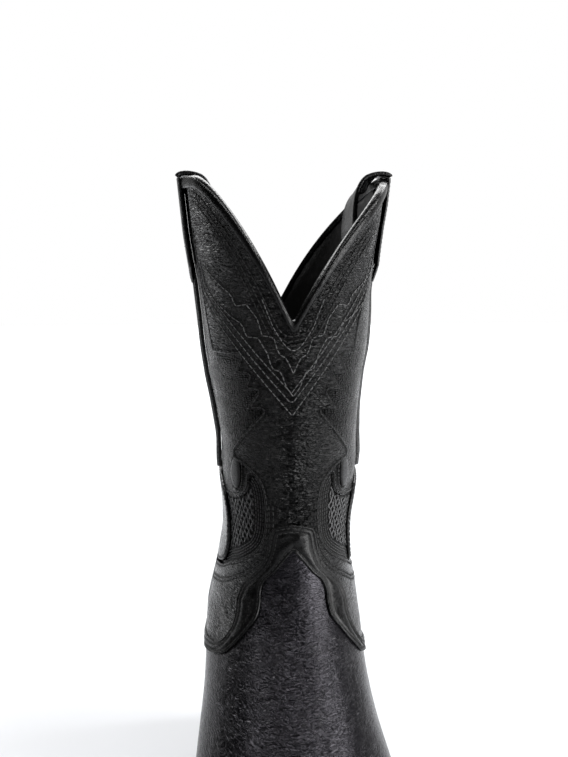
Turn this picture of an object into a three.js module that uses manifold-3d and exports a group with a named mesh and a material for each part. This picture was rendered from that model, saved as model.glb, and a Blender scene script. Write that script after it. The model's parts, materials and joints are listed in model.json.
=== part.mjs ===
// A left western boot: leather shaft, vamp and counter lasted over a stacked-heel sole unit.
// Millimetres, +Z up, toe towards -Y, outer side of the foot towards +X, standing on Z = 0.
import * as THREE from "three";
import { mergeVertices } from "three/addons/utils/BufferGeometryUtils.js";
import Module from "manifold-3d";

const wasm = await Module();
wasm.setup();

// ---------------------------------------------------------------- driving dimensions
const SOLE_STACK = 12.3; // outsole, welt and insole under the ball of the foot
const HEEL_RISE = 38.3; // how much higher the heel seat is than the ball
const ARCH_START = -55; // the sole starts to climb here
const ARCH_LENGTH = 130;
const TOE_SPRING = 6;
const SPRING_START = -98;
const SPRING_LENGTH = 40;
const TOE_SWING = 8; // how far the toe leans to the inner side
const SWING_START = -15;
const SWING_LENGTH = 125;
const FOOT_LEVEL = 25; // up to here the sides follow the foot, then they become the shaft
const ANKLE_BLEND = 110;
const LASTED_HEIGHT = 140; // above this the last no longer follows the slope of the sole
const GAP = 0.3; // between touching layers
const SEAM = 89.6; // the side seams are at 90 degrees, less half a seam gap
const BACK_SEAM = 180 - SEAM;
const FAR_BACK_SEAM = 180 + SEAM;
const FEATHER = -3.4; // how far the upper is lasted below the feather line
const BELOW_FEATHER = -9; // panels are cut past the feather line and end on it

const LINING = [0, 1.1]; // inner and outer offset of each leather layer from the last
const INLAY = [1.4, 2.3];
const OUTER = [2.6, 4.2];
const TRIM = [4.5, 5.7];
const BINDING = [-0.2, 4.4];
const INNER_TAB = [-1.9, -0.3];

const SCALLOP_LOW = 271; // bottom of the front and back dips
const EAR_RISE = 77; // how far the ears stand above the dips

const HEEL_BREAST = 72;
const LIFT_THICKNESS = 7.5;
const CAP_THICKNESS = 6;
const LIFT_COUNT = 4;
const STRAP_FRONT = 58; // front and rear edges of the pull straps
const STRAP_REAR = 92;
const STRAP_THICKNESS = 1.2;
const STRAP_TURNS = [76, 104]; // the same edges as turns around the last

const OUTSOLE_TOP = -7.3; // heights of the sole's layers from the feather line
const WELT_LAYER = [-7, -4.2];
const INSOLE_LAYER = [-3.3, -0.3];
const FOOTBED_LAYER = [0.1, 3.9];
const CORK_LAYER = [-7, -3.7];
const SHANK_LAYER = [-5.8, -4.2];
const CORK_END = -46;
const SHANK_REACH = [-42, 76];
const SHANK_HALF_WIDTH = 6;
const WELT_INNER = -6;

// ---------------------------------------------------------------- the last
const clamp = THREE.MathUtils.clamp;
const radians = THREE.MathUtils.degToRad;
const smooth = (t) => THREE.MathUtils.smoothstep(t, 0, 1);
const mix = THREE.MathUtils.lerp;

// A curve through the points that never overshoots them.
function curveThrough(points) {
  const xs = points.map((p) => p[0]);
  const ys = points.map((p) => p[1]);
  const rise = (i) => (ys[i + 1] - ys[i]) / (xs[i + 1] - xs[i]);
  const last = xs.length - 1;
  const slopes = xs.map((_, i) => {
    if (i === 0 || i === last) return rise(i === 0 ? 0 : last - 1);
    const [before, after] = [rise(i - 1), rise(i)];
    if (before * after <= 0) return 0;
    const [a, b] = [xs[i] - xs[i - 1], xs[i + 1] - xs[i]];
    return (3 * (a + b)) / ((2 * b + a) / before + (b + 2 * a) / after);
  });
  return (x) => {
    const at = clamp(x, xs[0], xs[last]);
    const i = clamp(xs.findIndex((edge) => edge > at) - 1, 0, last - 1);
    const k = at >= xs[last] ? last - 1 : i;
    const width = xs[k + 1] - xs[k];
    const t = (at - xs[k]) / width;
    const flat = (1 + 2 * t) * (1 - t) ** 2 * ys[k] + t * t * (3 - 2 * t) * ys[k + 1];
    return flat + width * (t * (1 - t) ** 2 * slopes[k] + t * t * (t - 1) * slopes[k + 1]);
  };
}

// One row per level above the feather line: level, front end, front rounding radius,
// front rounding power, back end, back rounding radius, half width.
const LEVELS = [
  [-4, -137.5, 27, 2.8, 136, 41, 33],
  [0, -137.5, 27, 2.8, 136, 41, 33],
  [12, -138, 30, 2.8, 138, 42, 34],
  [24, -133, 46, 2.5, 140.5, 46, 35],
  [34, -118, 62, 2.2, 141.5, 50, 36],
  [42, -101, 72, 2.0, 141.5, 52, 36.5],
  [52, -83, 78, 2.0, 141, 54, 37],
  [64, -65, 80, 2.0, 139.5, 56, 37.3],
  [80, -46, 80, 2.0, 137, 57, 37.5],
  [98, -25, 76, 2.0, 133, 58, 37],
  [118, -5, 70, 2.0, 128.5, 60, 35.5],
  [138, 7, 70, 2.0, 125.5, 70, 34.2],
  [160, 12, 70, 2.0, 124.5, 70, 34],
  [190, 14, 70, 2.0, 126, 70, 37],
  [225, 13, 70, 2.0, 129.5, 70, 42],
  [270, 9.5, 70, 2.0, 135, 70, 47.8],
  [310, 7, 70, 2.0, 139, 70, 52.5],
  [352, 5, 70, 2.0, 142, 70, 57],
];
const levelCurve = (column) => curveThrough(LEVELS.map((row) => [row[0], row[column]]));
const frontEnd = levelCurve(1);
const frontRadius = levelCurve(2);
const frontPower = levelCurve(3);
const backEnd = levelCurve(4);
const backRadius = levelCurve(5);
const shaftHalfWidth = levelCurve(6);

const medialFoot = curveThrough([
  [-140, 38], [-115, 43.5], [-90, 47.5], [-75, 48.5], [-50, 48], [-15, 44.5],
  [20, 39], [60, 33.5], [100, 31], [125, 30], [145, 29],
]);
const lateralFoot = curveThrough([
  [-140, 38], [-115, 44], [-90, 48], [-68, 49.5], [-40, 46.5], [-5, 39.5],
  [30, 34.5], [60, 32], [100, 30.5], [125, 30], [145, 29],
]);

// How much the sides stand out from the rounded section at each level: level, amount.
const medialFullness = curveThrough([
  [0, 0], [25, 1], [50, 2.8], [67, 3.4], [89, 4], [103, 3.7], [115, 2.6], [130, 0.8],
  [138, -0.4], [155, -2.8], [174, -2.8], [191, -3.6], [207, -5.2], [224, -4.8], [240, -3.7],
  [256, -3.3], [273, -3.6], [288, -3.6], [305, -2.6], [321, -1.9], [352, -1.8],
]);
const lateralFullness = curveThrough([
  [0, 0], [45, -0.6], [77, -2], [95, -1], [123, -0.6], [138, -1.7], [156, -1.6], [175, 0.6],
  [191, 0.6], [207, -1.5], [223, -3.3], [239, -3.6], [256, -2.6], [273, -3.6], [288, -5],
  [305, -5], [321, -4.6], [337, -3.5], [352, -3.4],
]);
const SIDE_SPREAD = 50; // degrees either side of the seam that the fullness reaches
const SIDE_TURN = 90;

// Height of the feather line (where upper and sole meet) at a place along the foot.
function featherHeight(y) {
  const arch = HEEL_RISE * smooth((y - ARCH_START) / ARCH_LENGTH);
  const spring = TOE_SPRING * Math.max((SPRING_START - y) / SPRING_LENGTH, 0) ** 2;
  return SOLE_STACK + arch + spring;
}

// The toe swings to the inner side of the foot.
const toeSwing = (y) => -TOE_SWING * Math.max((SWING_START - y) / SWING_LENGTH, 0) ** 1.5;

// The last's surface: u is the turn in degrees from the front ridge, positive on the
// outer side, and v the height above the feather line.
function lastPoint(u, v) {
  const turn = Math.abs(THREE.MathUtils.euclideanModulo(u + 180, 360) - 180);
  const side = Math.sign(THREE.MathUtils.euclideanModulo(u + 180, 360) - 180);
  const halfLength = (backEnd(v) - frontEnd(v)) / 2;
  const c = Math.cos(radians(turn));
  const y = (frontEnd(v) + backEnd(v)) / 2 - halfLength * c;
  const nearFront = 1 - clamp((halfLength * (1 - c)) / Math.min(frontRadius(v), halfLength), 0, 1);
  const nearBack = 1 - clamp((halfLength * (1 + c)) / Math.min(backRadius(v), halfLength), 0, 1);
  const power = frontPower(v);
  const rounding = (1 - nearFront ** power) ** (1 / power) * Math.sqrt(1 - nearBack ** 2);
  const foot = side < 0 ? medialFoot(y) : lateralFoot(y);
  const fullness = side < 0 ? medialFullness(v) : lateralFullness(v);
  const nearSeam = smooth(1 - Math.abs(turn - SIDE_TURN) / SIDE_SPREAD);
  const width = mix(foot, shaftHalfWidth(v), smooth((v - FOOT_LEVEL) / ANKLE_BLEND));
  const half = width * rounding + fullness * nearSeam;
  const drop = 1 - smooth(v / LASTED_HEIGHT);
  return new THREE.Vector3(toeSwing(y) + side * half, y, v + featherHeight(y) * drop);
}

// Every layer is faceted on the same lattice of turns and levels, so layers nest.
const HALF_TURNS = [0, 4, 10, ...Array.from({ length: 19 }, (_, i) => 18 + 9 * i)];
const WHOLE_TURN = [...HALF_TURNS.slice(1).map((u) => -u).reverse(), ...HALF_TURNS];
const U_LINES = [...WHOLE_TURN, ...WHOLE_TURN.slice(1, 18).map((u) => u + 360)];
const V_LINES = [FEATHER, 8, 18, 30, 44, 60, 78, 98, 118, 140, 168, 205, 250, 300, 352];
const LATTICE = U_LINES.map((u, i) => V_LINES.map((v, j) => {
  const across = lastPoint(U_LINES[i + 1] ?? u + 9, v).sub(lastPoint(U_LINES[i - 1] ?? u - 9, v));
  const up = lastPoint(u, V_LINES[j + 1] ?? v).sub(lastPoint(u, V_LINES[j - 1] ?? v));
  const point = lastPoint(u, v);
  const normal = across.cross(up).normalize();
  // Low down, an offset also climbs with the slope of the sole.
  const slope = featherHeight(point.y + 0.5) - featherHeight(point.y - 0.5);
  normal.z += slope * normal.y * (1 - smooth(v / LASTED_HEIGHT));
  return { point, normal };
}));

const cellOf = (lines, value) =>
  clamp(lines.findLastIndex((line) => line <= value + 1e-9), 0, lines.length - 2);

// A point at offset w from the lattice facets: each cell is split from its low corner
// to its high corner.
function onLattice(u, v, w) {
  const i = cellOf(U_LINES, u);
  const j = cellOf(V_LINES, v);
  const s = (u - U_LINES[i]) / (U_LINES[i + 1] - U_LINES[i]);
  const t = (v - V_LINES[j]) / (V_LINES[j + 1] - V_LINES[j]);
  const corner = (a, b) => {
    const node = LATTICE[i + a][j + b];
    return node.point.clone().addScaledVector(node.normal, w);
  };
  const weights = s >= t
    ? [[0, 0, 1 - s], [1, 0, s - t], [1, 1, t]]
    : [[0, 0, 1 - t], [0, 1, t - s], [1, 1, s]];
  const sum = new THREE.Vector3();
  for (const [a, b, weight] of weights) sum.addScaledVector(corner(a, b), weight);
  return sum;
}

// ---------------------------------------------------------------- solids
function geometryFrom(positions, triangles) {
  const geometry = new THREE.BufferGeometry();
  geometry.setAttribute("position", new THREE.Float32BufferAttribute(positions.flat(), 3));
  geometry.setIndex(triangles.flat());
  geometry.computeVertexNormals();
  return geometry;
}

function signedVolume(points, triangles) {
  const corner = (i) => new THREE.Vector3(...points[i]);
  return triangles.reduce((sum, [a, b, c]) => sum + corner(a).dot(corner(b).cross(corner(c))), 0);
}

// A closed skin over a chain of sections, each a ring of the same number of points.
function loft(sections) {
  const count = sections[0].length;
  const triangles = [];
  for (let k = 0; k + 1 < sections.length; k += 1) {
    for (let i = 0; i < count; i += 1) {
      const [a, b] = [k * count + i, k * count + ((i + 1) % count)];
      triangles.push([a, b, b + count], [a, b + count, a + count]);
    }
  }
  const end = (sections.length - 1) * count;
  for (let i = 1; i + 1 < count; i += 1) {
    triangles.push([0, i + 1, i], [end, end + i, end + i + 1]);
  }
  const points = sections.flat();
  const outward = signedVolume(points, triangles) > 0;
  return geometryFrom(points, outward ? triangles : triangles.map(([a, b, c]) => [a, c, b]));
}

function asManifold(geometry) {
  const bare = geometry.clone();
  bare.deleteAttribute("normal");
  bare.deleteAttribute("uv");
  const merged = mergeVertices(bare, 1e-5);
  return new wasm.Manifold(new wasm.Mesh({
    numProp: 3,
    vertProperties: new Float32Array(merged.attributes.position.array),
    triVerts: new Uint32Array(merged.index.array),
  }));
}

// Leather is cut flat and then formed on the last. The flat sheet is very slightly
// dished, so that the cut keeps every lattice fold.
const DISH = 5e-4;
const KNIFE_DEPTH = 200;
const dish = (u, v) => DISH * (u * u + v * v + u * v);

function flatSheet(uRange, vRange, [inner, outer]) {
  const us = U_LINES.slice(cellOf(U_LINES, uRange[0] - 0.2), cellOf(U_LINES, uRange[1] + 0.2) + 2);
  const vs = V_LINES.slice(cellOf(V_LINES, vRange[0] - 0.2), cellOf(V_LINES, vRange[1] + 0.2) + 2);
  const positions = [];
  for (const w of [inner, outer]) {
    for (const u of us) for (const v of vs) positions.push([u, v, w + dish(u, v)]);
  }
  const layer = us.length * vs.length;
  const at = (i, j, k) => k * layer + i * vs.length + j;
  const triangles = [];
  for (let i = 0; i + 1 < us.length; i += 1) {
    for (let j = 0; j + 1 < vs.length; j += 1) {
      const [a, b, c, d] = [[i, j], [i + 1, j], [i + 1, j + 1], [i, j + 1]];
      triangles.push([at(...a, 1), at(...b, 1), at(...c, 1)], [at(...a, 1), at(...c, 1), at(...d, 1)]);
      triangles.push([at(...a, 0), at(...c, 0), at(...b, 0)], [at(...a, 0), at(...d, 0), at(...c, 0)]);
    }
  }
  const rim = [
    ...us.slice(0, -1).map((_, i) => [i, 0]),
    ...vs.slice(0, -1).map((_, j) => [us.length - 1, j]),
    ...us.slice(1).map((_, i) => [us.length - 1 - i, vs.length - 1]),
    ...vs.slice(1).map((_, j) => [0, vs.length - 1 - j]),
  ];
  rim.forEach((from, k) => {
    const to = rim[(k + 1) % rim.length];
    triangles.push([at(...from, 0), at(...to, 0), at(...to, 1)]);
    triangles.push([at(...from, 0), at(...to, 1), at(...from, 1)]);
  });
  return geometryFrom(positions, triangles);
}

// A leather panel: its outline is given in turn and height, its layer as two offsets.
function panel(outline, layer) {
  const us = outline.map((p) => p[0]);
  const vs = outline.map((p) => p[1]);
  const sheet = flatSheet(
    [Math.min(...us), Math.max(...us)], [Math.min(...vs), Math.max(...vs)], layer);
  const shape = new THREE.Shape(outline.map(([u, v]) => new THREE.Vector2(u, v)));
  const knife = new THREE.ExtrudeGeometry(shape, { depth: KNIFE_DEPTH, bevelEnabled: false });
  knife.translate(0, 0, -KNIFE_DEPTH / 4);
  const cut = asManifold(sheet).intersect(asManifold(knife)).getMesh();
  const middle = (layer[0] + layer[1]) / 2;
  const positions = [];
  for (let i = 0; i < cut.vertProperties.length; i += 3) {
    const [u, v, height] = cut.vertProperties.slice(i, i + 3);
    const w = height - dish(u, v) < middle ? layer[0] : layer[1];
    positions.push(onLattice(u, v, w).toArray());
  }
  return geometryFrom(positions, Array.from(cut.triVerts));
}

const mirrored = (outline) => outline.map(([u, v]) => [-u, v]).reverse();
const raised = (outline, by) => outline.map(([u, v]) => [u, v + by]);
const onBack = (outline) => outline.map(([u, v]) => [180 - u, v]);
const backSides = (outline) => [...outline, ...outline.map(([u, v]) => [360 - u, v]).reverse()];

// ---------------------------------------------------------------- top line
// The inner side's front dip climbs faster, so its ear is the broader one.
const rampedTop = (u, reach, power) =>
  SCALLOP_LOW + EAR_RISE * (1 - clamp(1 - Math.abs(u) / reach, 0, 1) ** power);
const LATERAL_DIP = [90, 2.1]; // turn at which the dip reaches the ear, and its steepness
const MEDIAL_DIP = [60, 1.65];
const lateralTop = (u) => rampedTop(u, ...LATERAL_DIP);
const medialTop = (u) => rampedTop(u, ...MEDIAL_DIP);
const topHeight = (u) => (u < 0 ? medialTop(u) : lateralTop(u));
const backTopHeight = (u) => lateralTop(180 - u);
const TOP_TURNS = [0, 4, 10, 18, 30, 45, 60, 75, SEAM];
const frontTopLine = [...TOP_TURNS.slice(1).map((u) => -u).reverse(), ...TOP_TURNS]
  .map((u) => [u, topHeight(u)]);
const backHalfTop = TOP_TURNS.map((u) => [180 - u, backTopHeight(180 - u)]).reverse();
const backTopLine = [...backHalfTop, ...backHalfTop.slice(0, -1).map(([u, v]) => [360 - u, v]).reverse()];

// ---------------------------------------------------------------- pattern of the leather
// Where the vamp meets the front of the shaft, from the front ridge to the side seam.
const VAMP_LINE = [
  [0, 162], [9, 158], [15, 153], [20, 147], [23, 140], [27, 134], [33, 127.5],
  [39, 119.5], [43, 112], [48.5, 105], [57.5, 96.5], [72, 89.5], [SEAM, 83],
];
const COLLAR_OUTER = [
  [0, 168.5], [11, 167], [16, 164.5], [18.7, 155], [22.5, 148], [29.7, 142], [38, 136],
  [44.5, 126], [45.5, 117.5], [50, 108], [59, 98.5], [72, 92.5], [SEAM, 87],
];
const COLLAR_INNER = [
  [0, 155], [7, 149], [14, 143], [21, 138.5], [24, 133], [24.5, 127], [27.3, 119.7],
  [34, 113], [40.5, 107], [47.5, 101], [56, 94], [72, 86], [SEAM, 79],
];
// The stepped edge of the front panel, its beak over the ankle, its neck and its lobe.
const STEPS = [
  [31.5, 256], [37, 246], [26.5, 246], [32.5, 237.5], [21.5, 238], [30.5, 227.5],
  [18, 228], [45.5, 204.5], [46, 200],
];
const NECK = [
  [35, 197], [25.5, 191], [21.8, 185], [20.8, 175], [22, 164], [25.5, 157], [31, 152.5],
  [37, 149.5], [47.5, 145], [57, 142], [72, 136], [SEAM, 132],
];
const LATERAL_FLANK = [[60, 325], [53, 300], [46.5, 280], [43.5, 268], [42, 256]];
const MEDIAL_FLANK = [[66, 325], [64, 300], [61, 280], [59, 268], [56, 256]];
const COUNTER_LINE = [[BACK_SEAM, 83], [105, 83], [122, 87], [140, 94], [160, 105], [180, 114]];

function frontPanel() {
  const half = (flank) => [...flank, ...STEPS, ...NECK, ...raised(VAMP_LINE, GAP).reverse()];
  const top = frontTopLine.filter(([u]) => u > -68 && u < 61);
  return panel([...top, ...half(LATERAL_FLANK), ...mirrored(half(MEDIAL_FLANK)).slice(1)], OUTER);
}

function backPanel() {
  const ankleWing = [[118, 192], [100, 187], [84, 183], [70, 178], [63.5, 170], [62, 158], [64, 146]];
  const half = [
    ...onBack([...LATERAL_FLANK, ...STEPS]), ...ankleWing, [72, 138], [BACK_SEAM, 133],
    ...raised(COUNTER_LINE, GAP),
  ];
  const top = backTopLine.filter(([u]) => u > 119 && u < 241);
  const otherHalf = half.slice(0, -1).map(([u, v]) => [360 - u, v]);
  return panel([...top, ...otherHalf, ...half.reverse()], OUTER);
}

// The textured leather seen behind the stepped cut-outs, with a rounded tab at its foot.
function wingInlay(side, back) {
  const height = back ? lateralTop : side < 0 ? medialTop : lateralTop;
  const edge = [
    [36, 300], [28, 272], [20, 262], [14, 245], [12, 226], [16, 205], [24, 192], [33, 192],
    [34, 186], [38, 181.5], [47, 178], [60, 176], [75, 175], [SEAM, 176],
  ];
  const top = [SEAM, 75, 60, 45].map((u) => [u, height(u)]);
  const outline = [...edge, ...top];
  if (back) return panel(side > 0 ? onBack(outline) : onBack(mirrored(outline)), INLAY);
  return panel(side > 0 ? outline : mirrored(outline), INLAY);
}

function latticeInlay(side) {
  const outline = [
    [14, 191.6], [32.6, 191.6], [33.6, 185.6], [37.6, 181.1], [47, 177.6], [60, 175.6], [74, 174.6],
    [74, 132], [47, 136], [30, 144], [18, 152], [14, 158],
  ];
  return panel(side > 0 ? outline : mirrored(outline), INLAY);
}

const closedBand = (upper, lower) => [...upper, ...[...lower].reverse()];
const bothSides = (half) => [...mirrored(half.slice(1)), ...half];

function vamp() {
  const edge = bothSides(raised(VAMP_LINE, -GAP));
  return panel([...edge, [SEAM, BELOW_FEATHER], [-SEAM, BELOW_FEATHER]], OUTER);
}

function heelCounter() {
  const edge = backSides(raised(COUNTER_LINE, -GAP));
  return panel([...edge, [FAR_BACK_SEAM, BELOW_FEATHER], [BACK_SEAM, BELOW_FEATHER]], OUTER);
}

function vampCollar() {
  return panel(closedBand(bothSides(COLLAR_OUTER), bothSides(COLLAR_INNER)), TRIM);
}

const COUNTER_BAND = [-5, 3.5]; // lower and upper edge about the counter's top line
function counterCollar() {
  const [lower, upper] = COUNTER_BAND.map((by) => backSides(raised(COUNTER_LINE, by)));
  return panel(closedBand(upper, lower), TRIM);
}

const toePuff = () => panel(
  [[-44, BELOW_FEATHER], [44, BELOW_FEATHER], [40, 18], [28, 30], [10, 36],
    [-10, 36], [-28, 30], [-40, 18]], INLAY);

const counterStiffener = () => panel(
  backSides([[118, BELOW_FEATHER], [121, 28], [138, 50], [160, 60], [179, 62]]), INLAY);

const QUARTER_TOP = 119.5; // the vamp's lining meets the shaft's lining just above this
const frontLining = () => panel(
  [...frontTopLine, [SEAM, QUARTER_TOP + 0.5], [-SEAM, QUARTER_TOP + 0.5]], LINING);
const backLining = () => panel(
  [...backTopLine, [FAR_BACK_SEAM, BELOW_FEATHER], [BACK_SEAM, BELOW_FEATHER]], LINING);
const vampLining = () => panel([
  [-SEAM, BELOW_FEATHER], [SEAM, BELOW_FEATHER], [SEAM, QUARTER_TOP], [-SEAM, QUARTER_TOP],
], LINING);

const BINDING_RISE = 2;
const binding = (line) => panel(closedBand(raised(line, BINDING_RISE), raised(line, GAP)), BINDING);

// A narrow upright band over a side seam, between two heights.
function seamBand(side, [from, to], [low, high], layer) {
  const outline = [[from, low], [to, low], [to, high], [from, high]];
  return panel(side > 0 ? outline : mirrored(outline), layer);
}
const sidePiping = (side) => seamBand(side, [87.5, 92.5], [186, 345], OUTER);
const strapInnerEnd = (side) => seamBand(side, STRAP_TURNS, [284, 300], INNER_TAB);

function strapOuterEnd(side) {
  const [front, rear] = STRAP_TURNS;
  const outline = [[front, 350], [front, 301], [90, 291], [rear, 301], [rear, 350]];
  return panel(side > 0 ? outline : mirrored(outline), TRIM);
}

// ---------------------------------------------------------------- pull strap loops
// Each loop starts at the top of its outer end, goes over the top line and hangs inside.
// The path is across and up from its hinge, for the front edge of the strap.
const LOOP_PATH = [
  [0, 0.4], [-0.2, 1.9], [-1.9, 3.2], [-5.5, 3.9], [-10, 3.4], [-14.5, 0.6], [-17.8, -5.5],
  [-19.5, -14], [-20, -27], [-19.5, -38], [-17, -46],
];
const REAR_DRAW = 1.12; // the rear edge of the loop stands this much of that off the wall
const REAR_SAG = 6; // and its crown sags this far below the front edge, inside the top line
const sagAt = (across, up) => REAR_SAG * smooth((-across - 5) / 6) * smooth((up + 34) / 20);

function pullLoop(side) {
  const hinge = onLattice(side * SIDE_TURN, 350, (TRIM[0] + TRIM[1]) / 2);
  const half = STRAP_THICKNESS / 2;
  const edge = ([across, up], i, path, y) => {
    const before = path[Math.max(i - 1, 0)];
    const after = path[Math.min(i + 1, path.length - 1)];
    const along = new THREE.Vector2(after[0] - before[0], after[1] - before[1]).normalize();
    return [half, -half].map((offset) => [
      hinge.x + side * (across + along.y * offset), y, hinge.z + up - along.x * offset]);
  };
  const front = LOOP_PATH.map((point, i, path) => edge(point, i, path, STRAP_FRONT));
  const rear = LOOP_PATH.map(([across, up]) => [across * REAR_DRAW, up - sagAt(across, up)])
    .map((point, i, path) => edge(point, i, path, STRAP_REAR));
  return loft(front.map((pair, i) => [pair[0], rear[i][0], rear[i][1], pair[1]]));
}

// ---------------------------------------------------------------- sole unit
// Half-outline of the feather line, offset outwards by `out(y)`, on one side of the foot.
function soleEdge(side, out) {
  const points = [];
  for (let turn = 0; turn <= 180; turn += 2) {
    const base = onLattice(side * turn, 0, 0);
    const point = onLattice(side * turn, 0, out(base.y));
    points.push([point.y, point.x]);
  }
  return points;
}

function widthAt(edge, y) {
  const k = clamp(edge.findIndex((point) => point[0] > y), 1, edge.length - 1);
  const [from, to] = [edge[k - 1], edge[k]];
  return mix(from[1], to[1], clamp((y - from[0]) / (to[0] - from[0]), 0, 1));
}

// The upper's lower edge runs straight from one lattice line to the next, and the sole
// pieces bend at the same places along the foot, so that they stay parallel to it.
const STATIONS = HALF_TURNS.map((u) => lastPoint(u, 0).y);
const ROUND_TOE = [0.3, 1.5, 4]; // close stations where the outline turns across the foot
const ROUND_HEEL = [8, 4, 1.5, 0.3];
function stationsBetween(start, end) {
  const inside = STATIONS.filter((y) => y > start + ROUND_TOE[2] + 1 && y < end - ROUND_HEEL[0] - 1);
  return [...ROUND_TOE.map((by) => start + by), ...inside, ...ROUND_HEEL.map((by) => end - by)];
}

function seatHeight(y) {
  const k = clamp(STATIONS.findLastIndex((station) => station <= y), 0, STATIONS.length - 2);
  const [from, to] = [STATIONS[k], STATIONS[k + 1]];
  return mix(featherHeight(from), featherHeight(to), (y - from) / (to - from));
}

// A slab following the outline of the foot, between two heights that depend on y.
function soleSlab({ out, low, high, from = -Infinity, to = Infinity, trim }) {
  const [inner, outer] = [soleEdge(-1, out), soleEdge(1, out)];
  const ys = stationsBetween(Math.max(from, inner[0][0]), Math.min(to, inner.at(-1)[0]));
  return loft(ys.map((y) => {
    const left = trim ? Math.max(widthAt(inner, y), -trim) : widthAt(inner, y);
    const right = trim ? Math.min(widthAt(outer, y), trim) : widthAt(outer, y);
    return [[left, y, low(y)], [left, y, high(y)], [right, y, high(y)], [right, y, low(y)]];
  }));
}

// A strip following the edge of the foot between two turns.
function soleStrip({ outer, inner, low, high, from, to }) {
  const turns = [from, ...U_LINES.filter((u) => u > from && u < to), to];
  return loft(turns.map((u) => {
    const y = onLattice(u, 0, 0).y;
    const [rim, core] = [onLattice(u, 0, outer(y)), onLattice(u, 0, inner)];
    return [
      [rim.x, rim.y, low(rim.y)], [rim.x, rim.y, high(rim.y)],
      [core.x, core.y, high(core.y)], [core.x, core.y, low(core.y)],
    ];
  }));
}

const above = (offset) => (y) => seatHeight(y) + offset;
const fixed = (value) => () => value;
const WELT_END = 100;

// The sole stands out most at the ball, tucks in at the waist and widens at the heel.
const outsoleReach = curveThrough([[-140, 9.5], [-60, 9.5], [-5, 4.5], [25, 3], [75, 4], [145, 5.5]]);
const layer = ([low, high]) => ({ low: above(low), high: above(high) });
const outsole = () => soleSlab({ out: outsoleReach, ...layer([-SOLE_STACK, OUTSOLE_TOP]) });
const welt = () => soleStrip({
  outer: (y) => outsoleReach(y) - 1.2, inner: WELT_INNER, ...layer(WELT_LAYER),
  from: -WELT_END, to: WELT_END,
});
const heelRand = () => soleStrip({
  outer: (y) => outsoleReach(y) - 0.8, inner: WELT_INNER, ...layer(WELT_LAYER),
  from: WELT_END + 1, to: 359 - WELT_END,
});
const insole = () => soleSlab({ out: fixed(-0.9), ...layer(INSOLE_LAYER) });
const footbed = () => soleSlab({ out: fixed(-1.8), ...layer(FOOTBED_LAYER) });
const corkFiller = () => soleSlab({ out: fixed(-7), ...layer(CORK_LAYER), to: CORK_END });
const shank = () => soleSlab({
  out: fixed(-8), ...layer(SHANK_LAYER), from: SHANK_REACH[0], to: SHANK_REACH[1],
  trim: SHANK_HALF_WIDTH,
});

function heelLayer(low, thickness, taper) {
  return soleSlab({
    out: (y) => outsoleReach(y) - taper, low: fixed(low), high: fixed(low + thickness),
    from: HEEL_BREAST + taper * 0.6,
  });
}

// ---------------------------------------------------------------- materials and assembly
const finish = (color, roughness, metalness = 0) =>
  new THREE.MeshStandardMaterial({ color, roughness, metalness });
const LOOKS = {
  tumbled: () => finish(0x1c1b1d, 0.55),
  smoothBlack: () => finish(0x131315, 0.38),
  lining: () => finish(0x6d675f, 0.8),
  inlay: () => finish(0x242427, 0.5),
  soleLeather: () => finish(0x2a211c, 0.6),
  bareLeather: () => finish(0x9a7350, 0.75),
  cork: () => finish(0x8c6a45, 0.9),
  steel: () => finish(0x8f9296, 0.35, 0.9),
  rubber: () => finish(0x151515, 0.8),
  pad: () => finish(0x54504c, 0.9),
};

const boot = new THREE.Group();
function add(name, geometry, look) {
  const mesh = new THREE.Mesh(geometry, look());
  mesh.name = name;
  boot.add(mesh);
}

add("outsole", outsole(), LOOKS.soleLeather);
add("welt", welt(), LOOKS.soleLeather);
add("heel_rand", heelRand(), LOOKS.soleLeather);
add("insole", insole(), LOOKS.bareLeather);
add("cork_filler", corkFiller(), LOOKS.cork);
add("steel_shank", shank(), LOOKS.steel);
add("footbed", footbed(), LOOKS.pad);
add("heel_cap", heelLayer(0, CAP_THICKNESS, 3.6), LOOKS.rubber);
for (let k = 0; k < LIFT_COUNT; k += 1) {
  const low = CAP_THICKNESS + GAP + k * (LIFT_THICKNESS + GAP);
  add(`heel_lift_${k + 1}`, heelLayer(low, LIFT_THICKNESS, 3 - 0.75 * k), LOOKS.soleLeather);
}

add("vamp_lining", vampLining(), LOOKS.lining);
add("shaft_lining_front", frontLining(), LOOKS.lining);
add("shaft_lining_back", backLining(), LOOKS.lining);
add("toe_puff", toePuff(), LOOKS.bareLeather);
add("counter_stiffener", counterStiffener(), LOOKS.bareLeather);
add("vamp", vamp(), LOOKS.tumbled);
add("heel_counter", heelCounter(), LOOKS.tumbled);
add("front_shaft_panel", frontPanel(), LOOKS.tumbled);
add("back_shaft_panel", backPanel(), LOOKS.tumbled);
add("vamp_collar", vampCollar(), LOOKS.smoothBlack);
add("counter_collar", counterCollar(), LOOKS.smoothBlack);
add("top_binding_front", binding(frontTopLine), LOOKS.smoothBlack);
add("top_binding_back", binding(backTopLine), LOOKS.smoothBlack);

for (const [label, side] of [["medial", -1], ["lateral", 1]]) {
  add(`wing_inlay_front_${label}`, wingInlay(side, false), LOOKS.inlay);
  add(`wing_inlay_back_${label}`, wingInlay(side, true), LOOKS.inlay);
  add(`lattice_inlay_${label}`, latticeInlay(side), LOOKS.inlay);
  add(`side_piping_${label}`, sidePiping(side), LOOKS.smoothBlack);
  add(`pull_strap_outer_end_${label}`, strapOuterEnd(side), LOOKS.smoothBlack);
  add(`pull_strap_inner_end_${label}`, strapInnerEnd(side), LOOKS.smoothBlack);
  add(`pull_strap_loop_${label}`, pullLoop(side), LOOKS.smoothBlack);
}

// The origin is on the ground, under the middle of the boot.
const box = new THREE.Box3().setFromObject(boot);
boot.position.set(-(box.min.x + box.max.x) / 2, -(box.min.y + box.max.y) / 2, -box.min.z);

export default boot;
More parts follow.
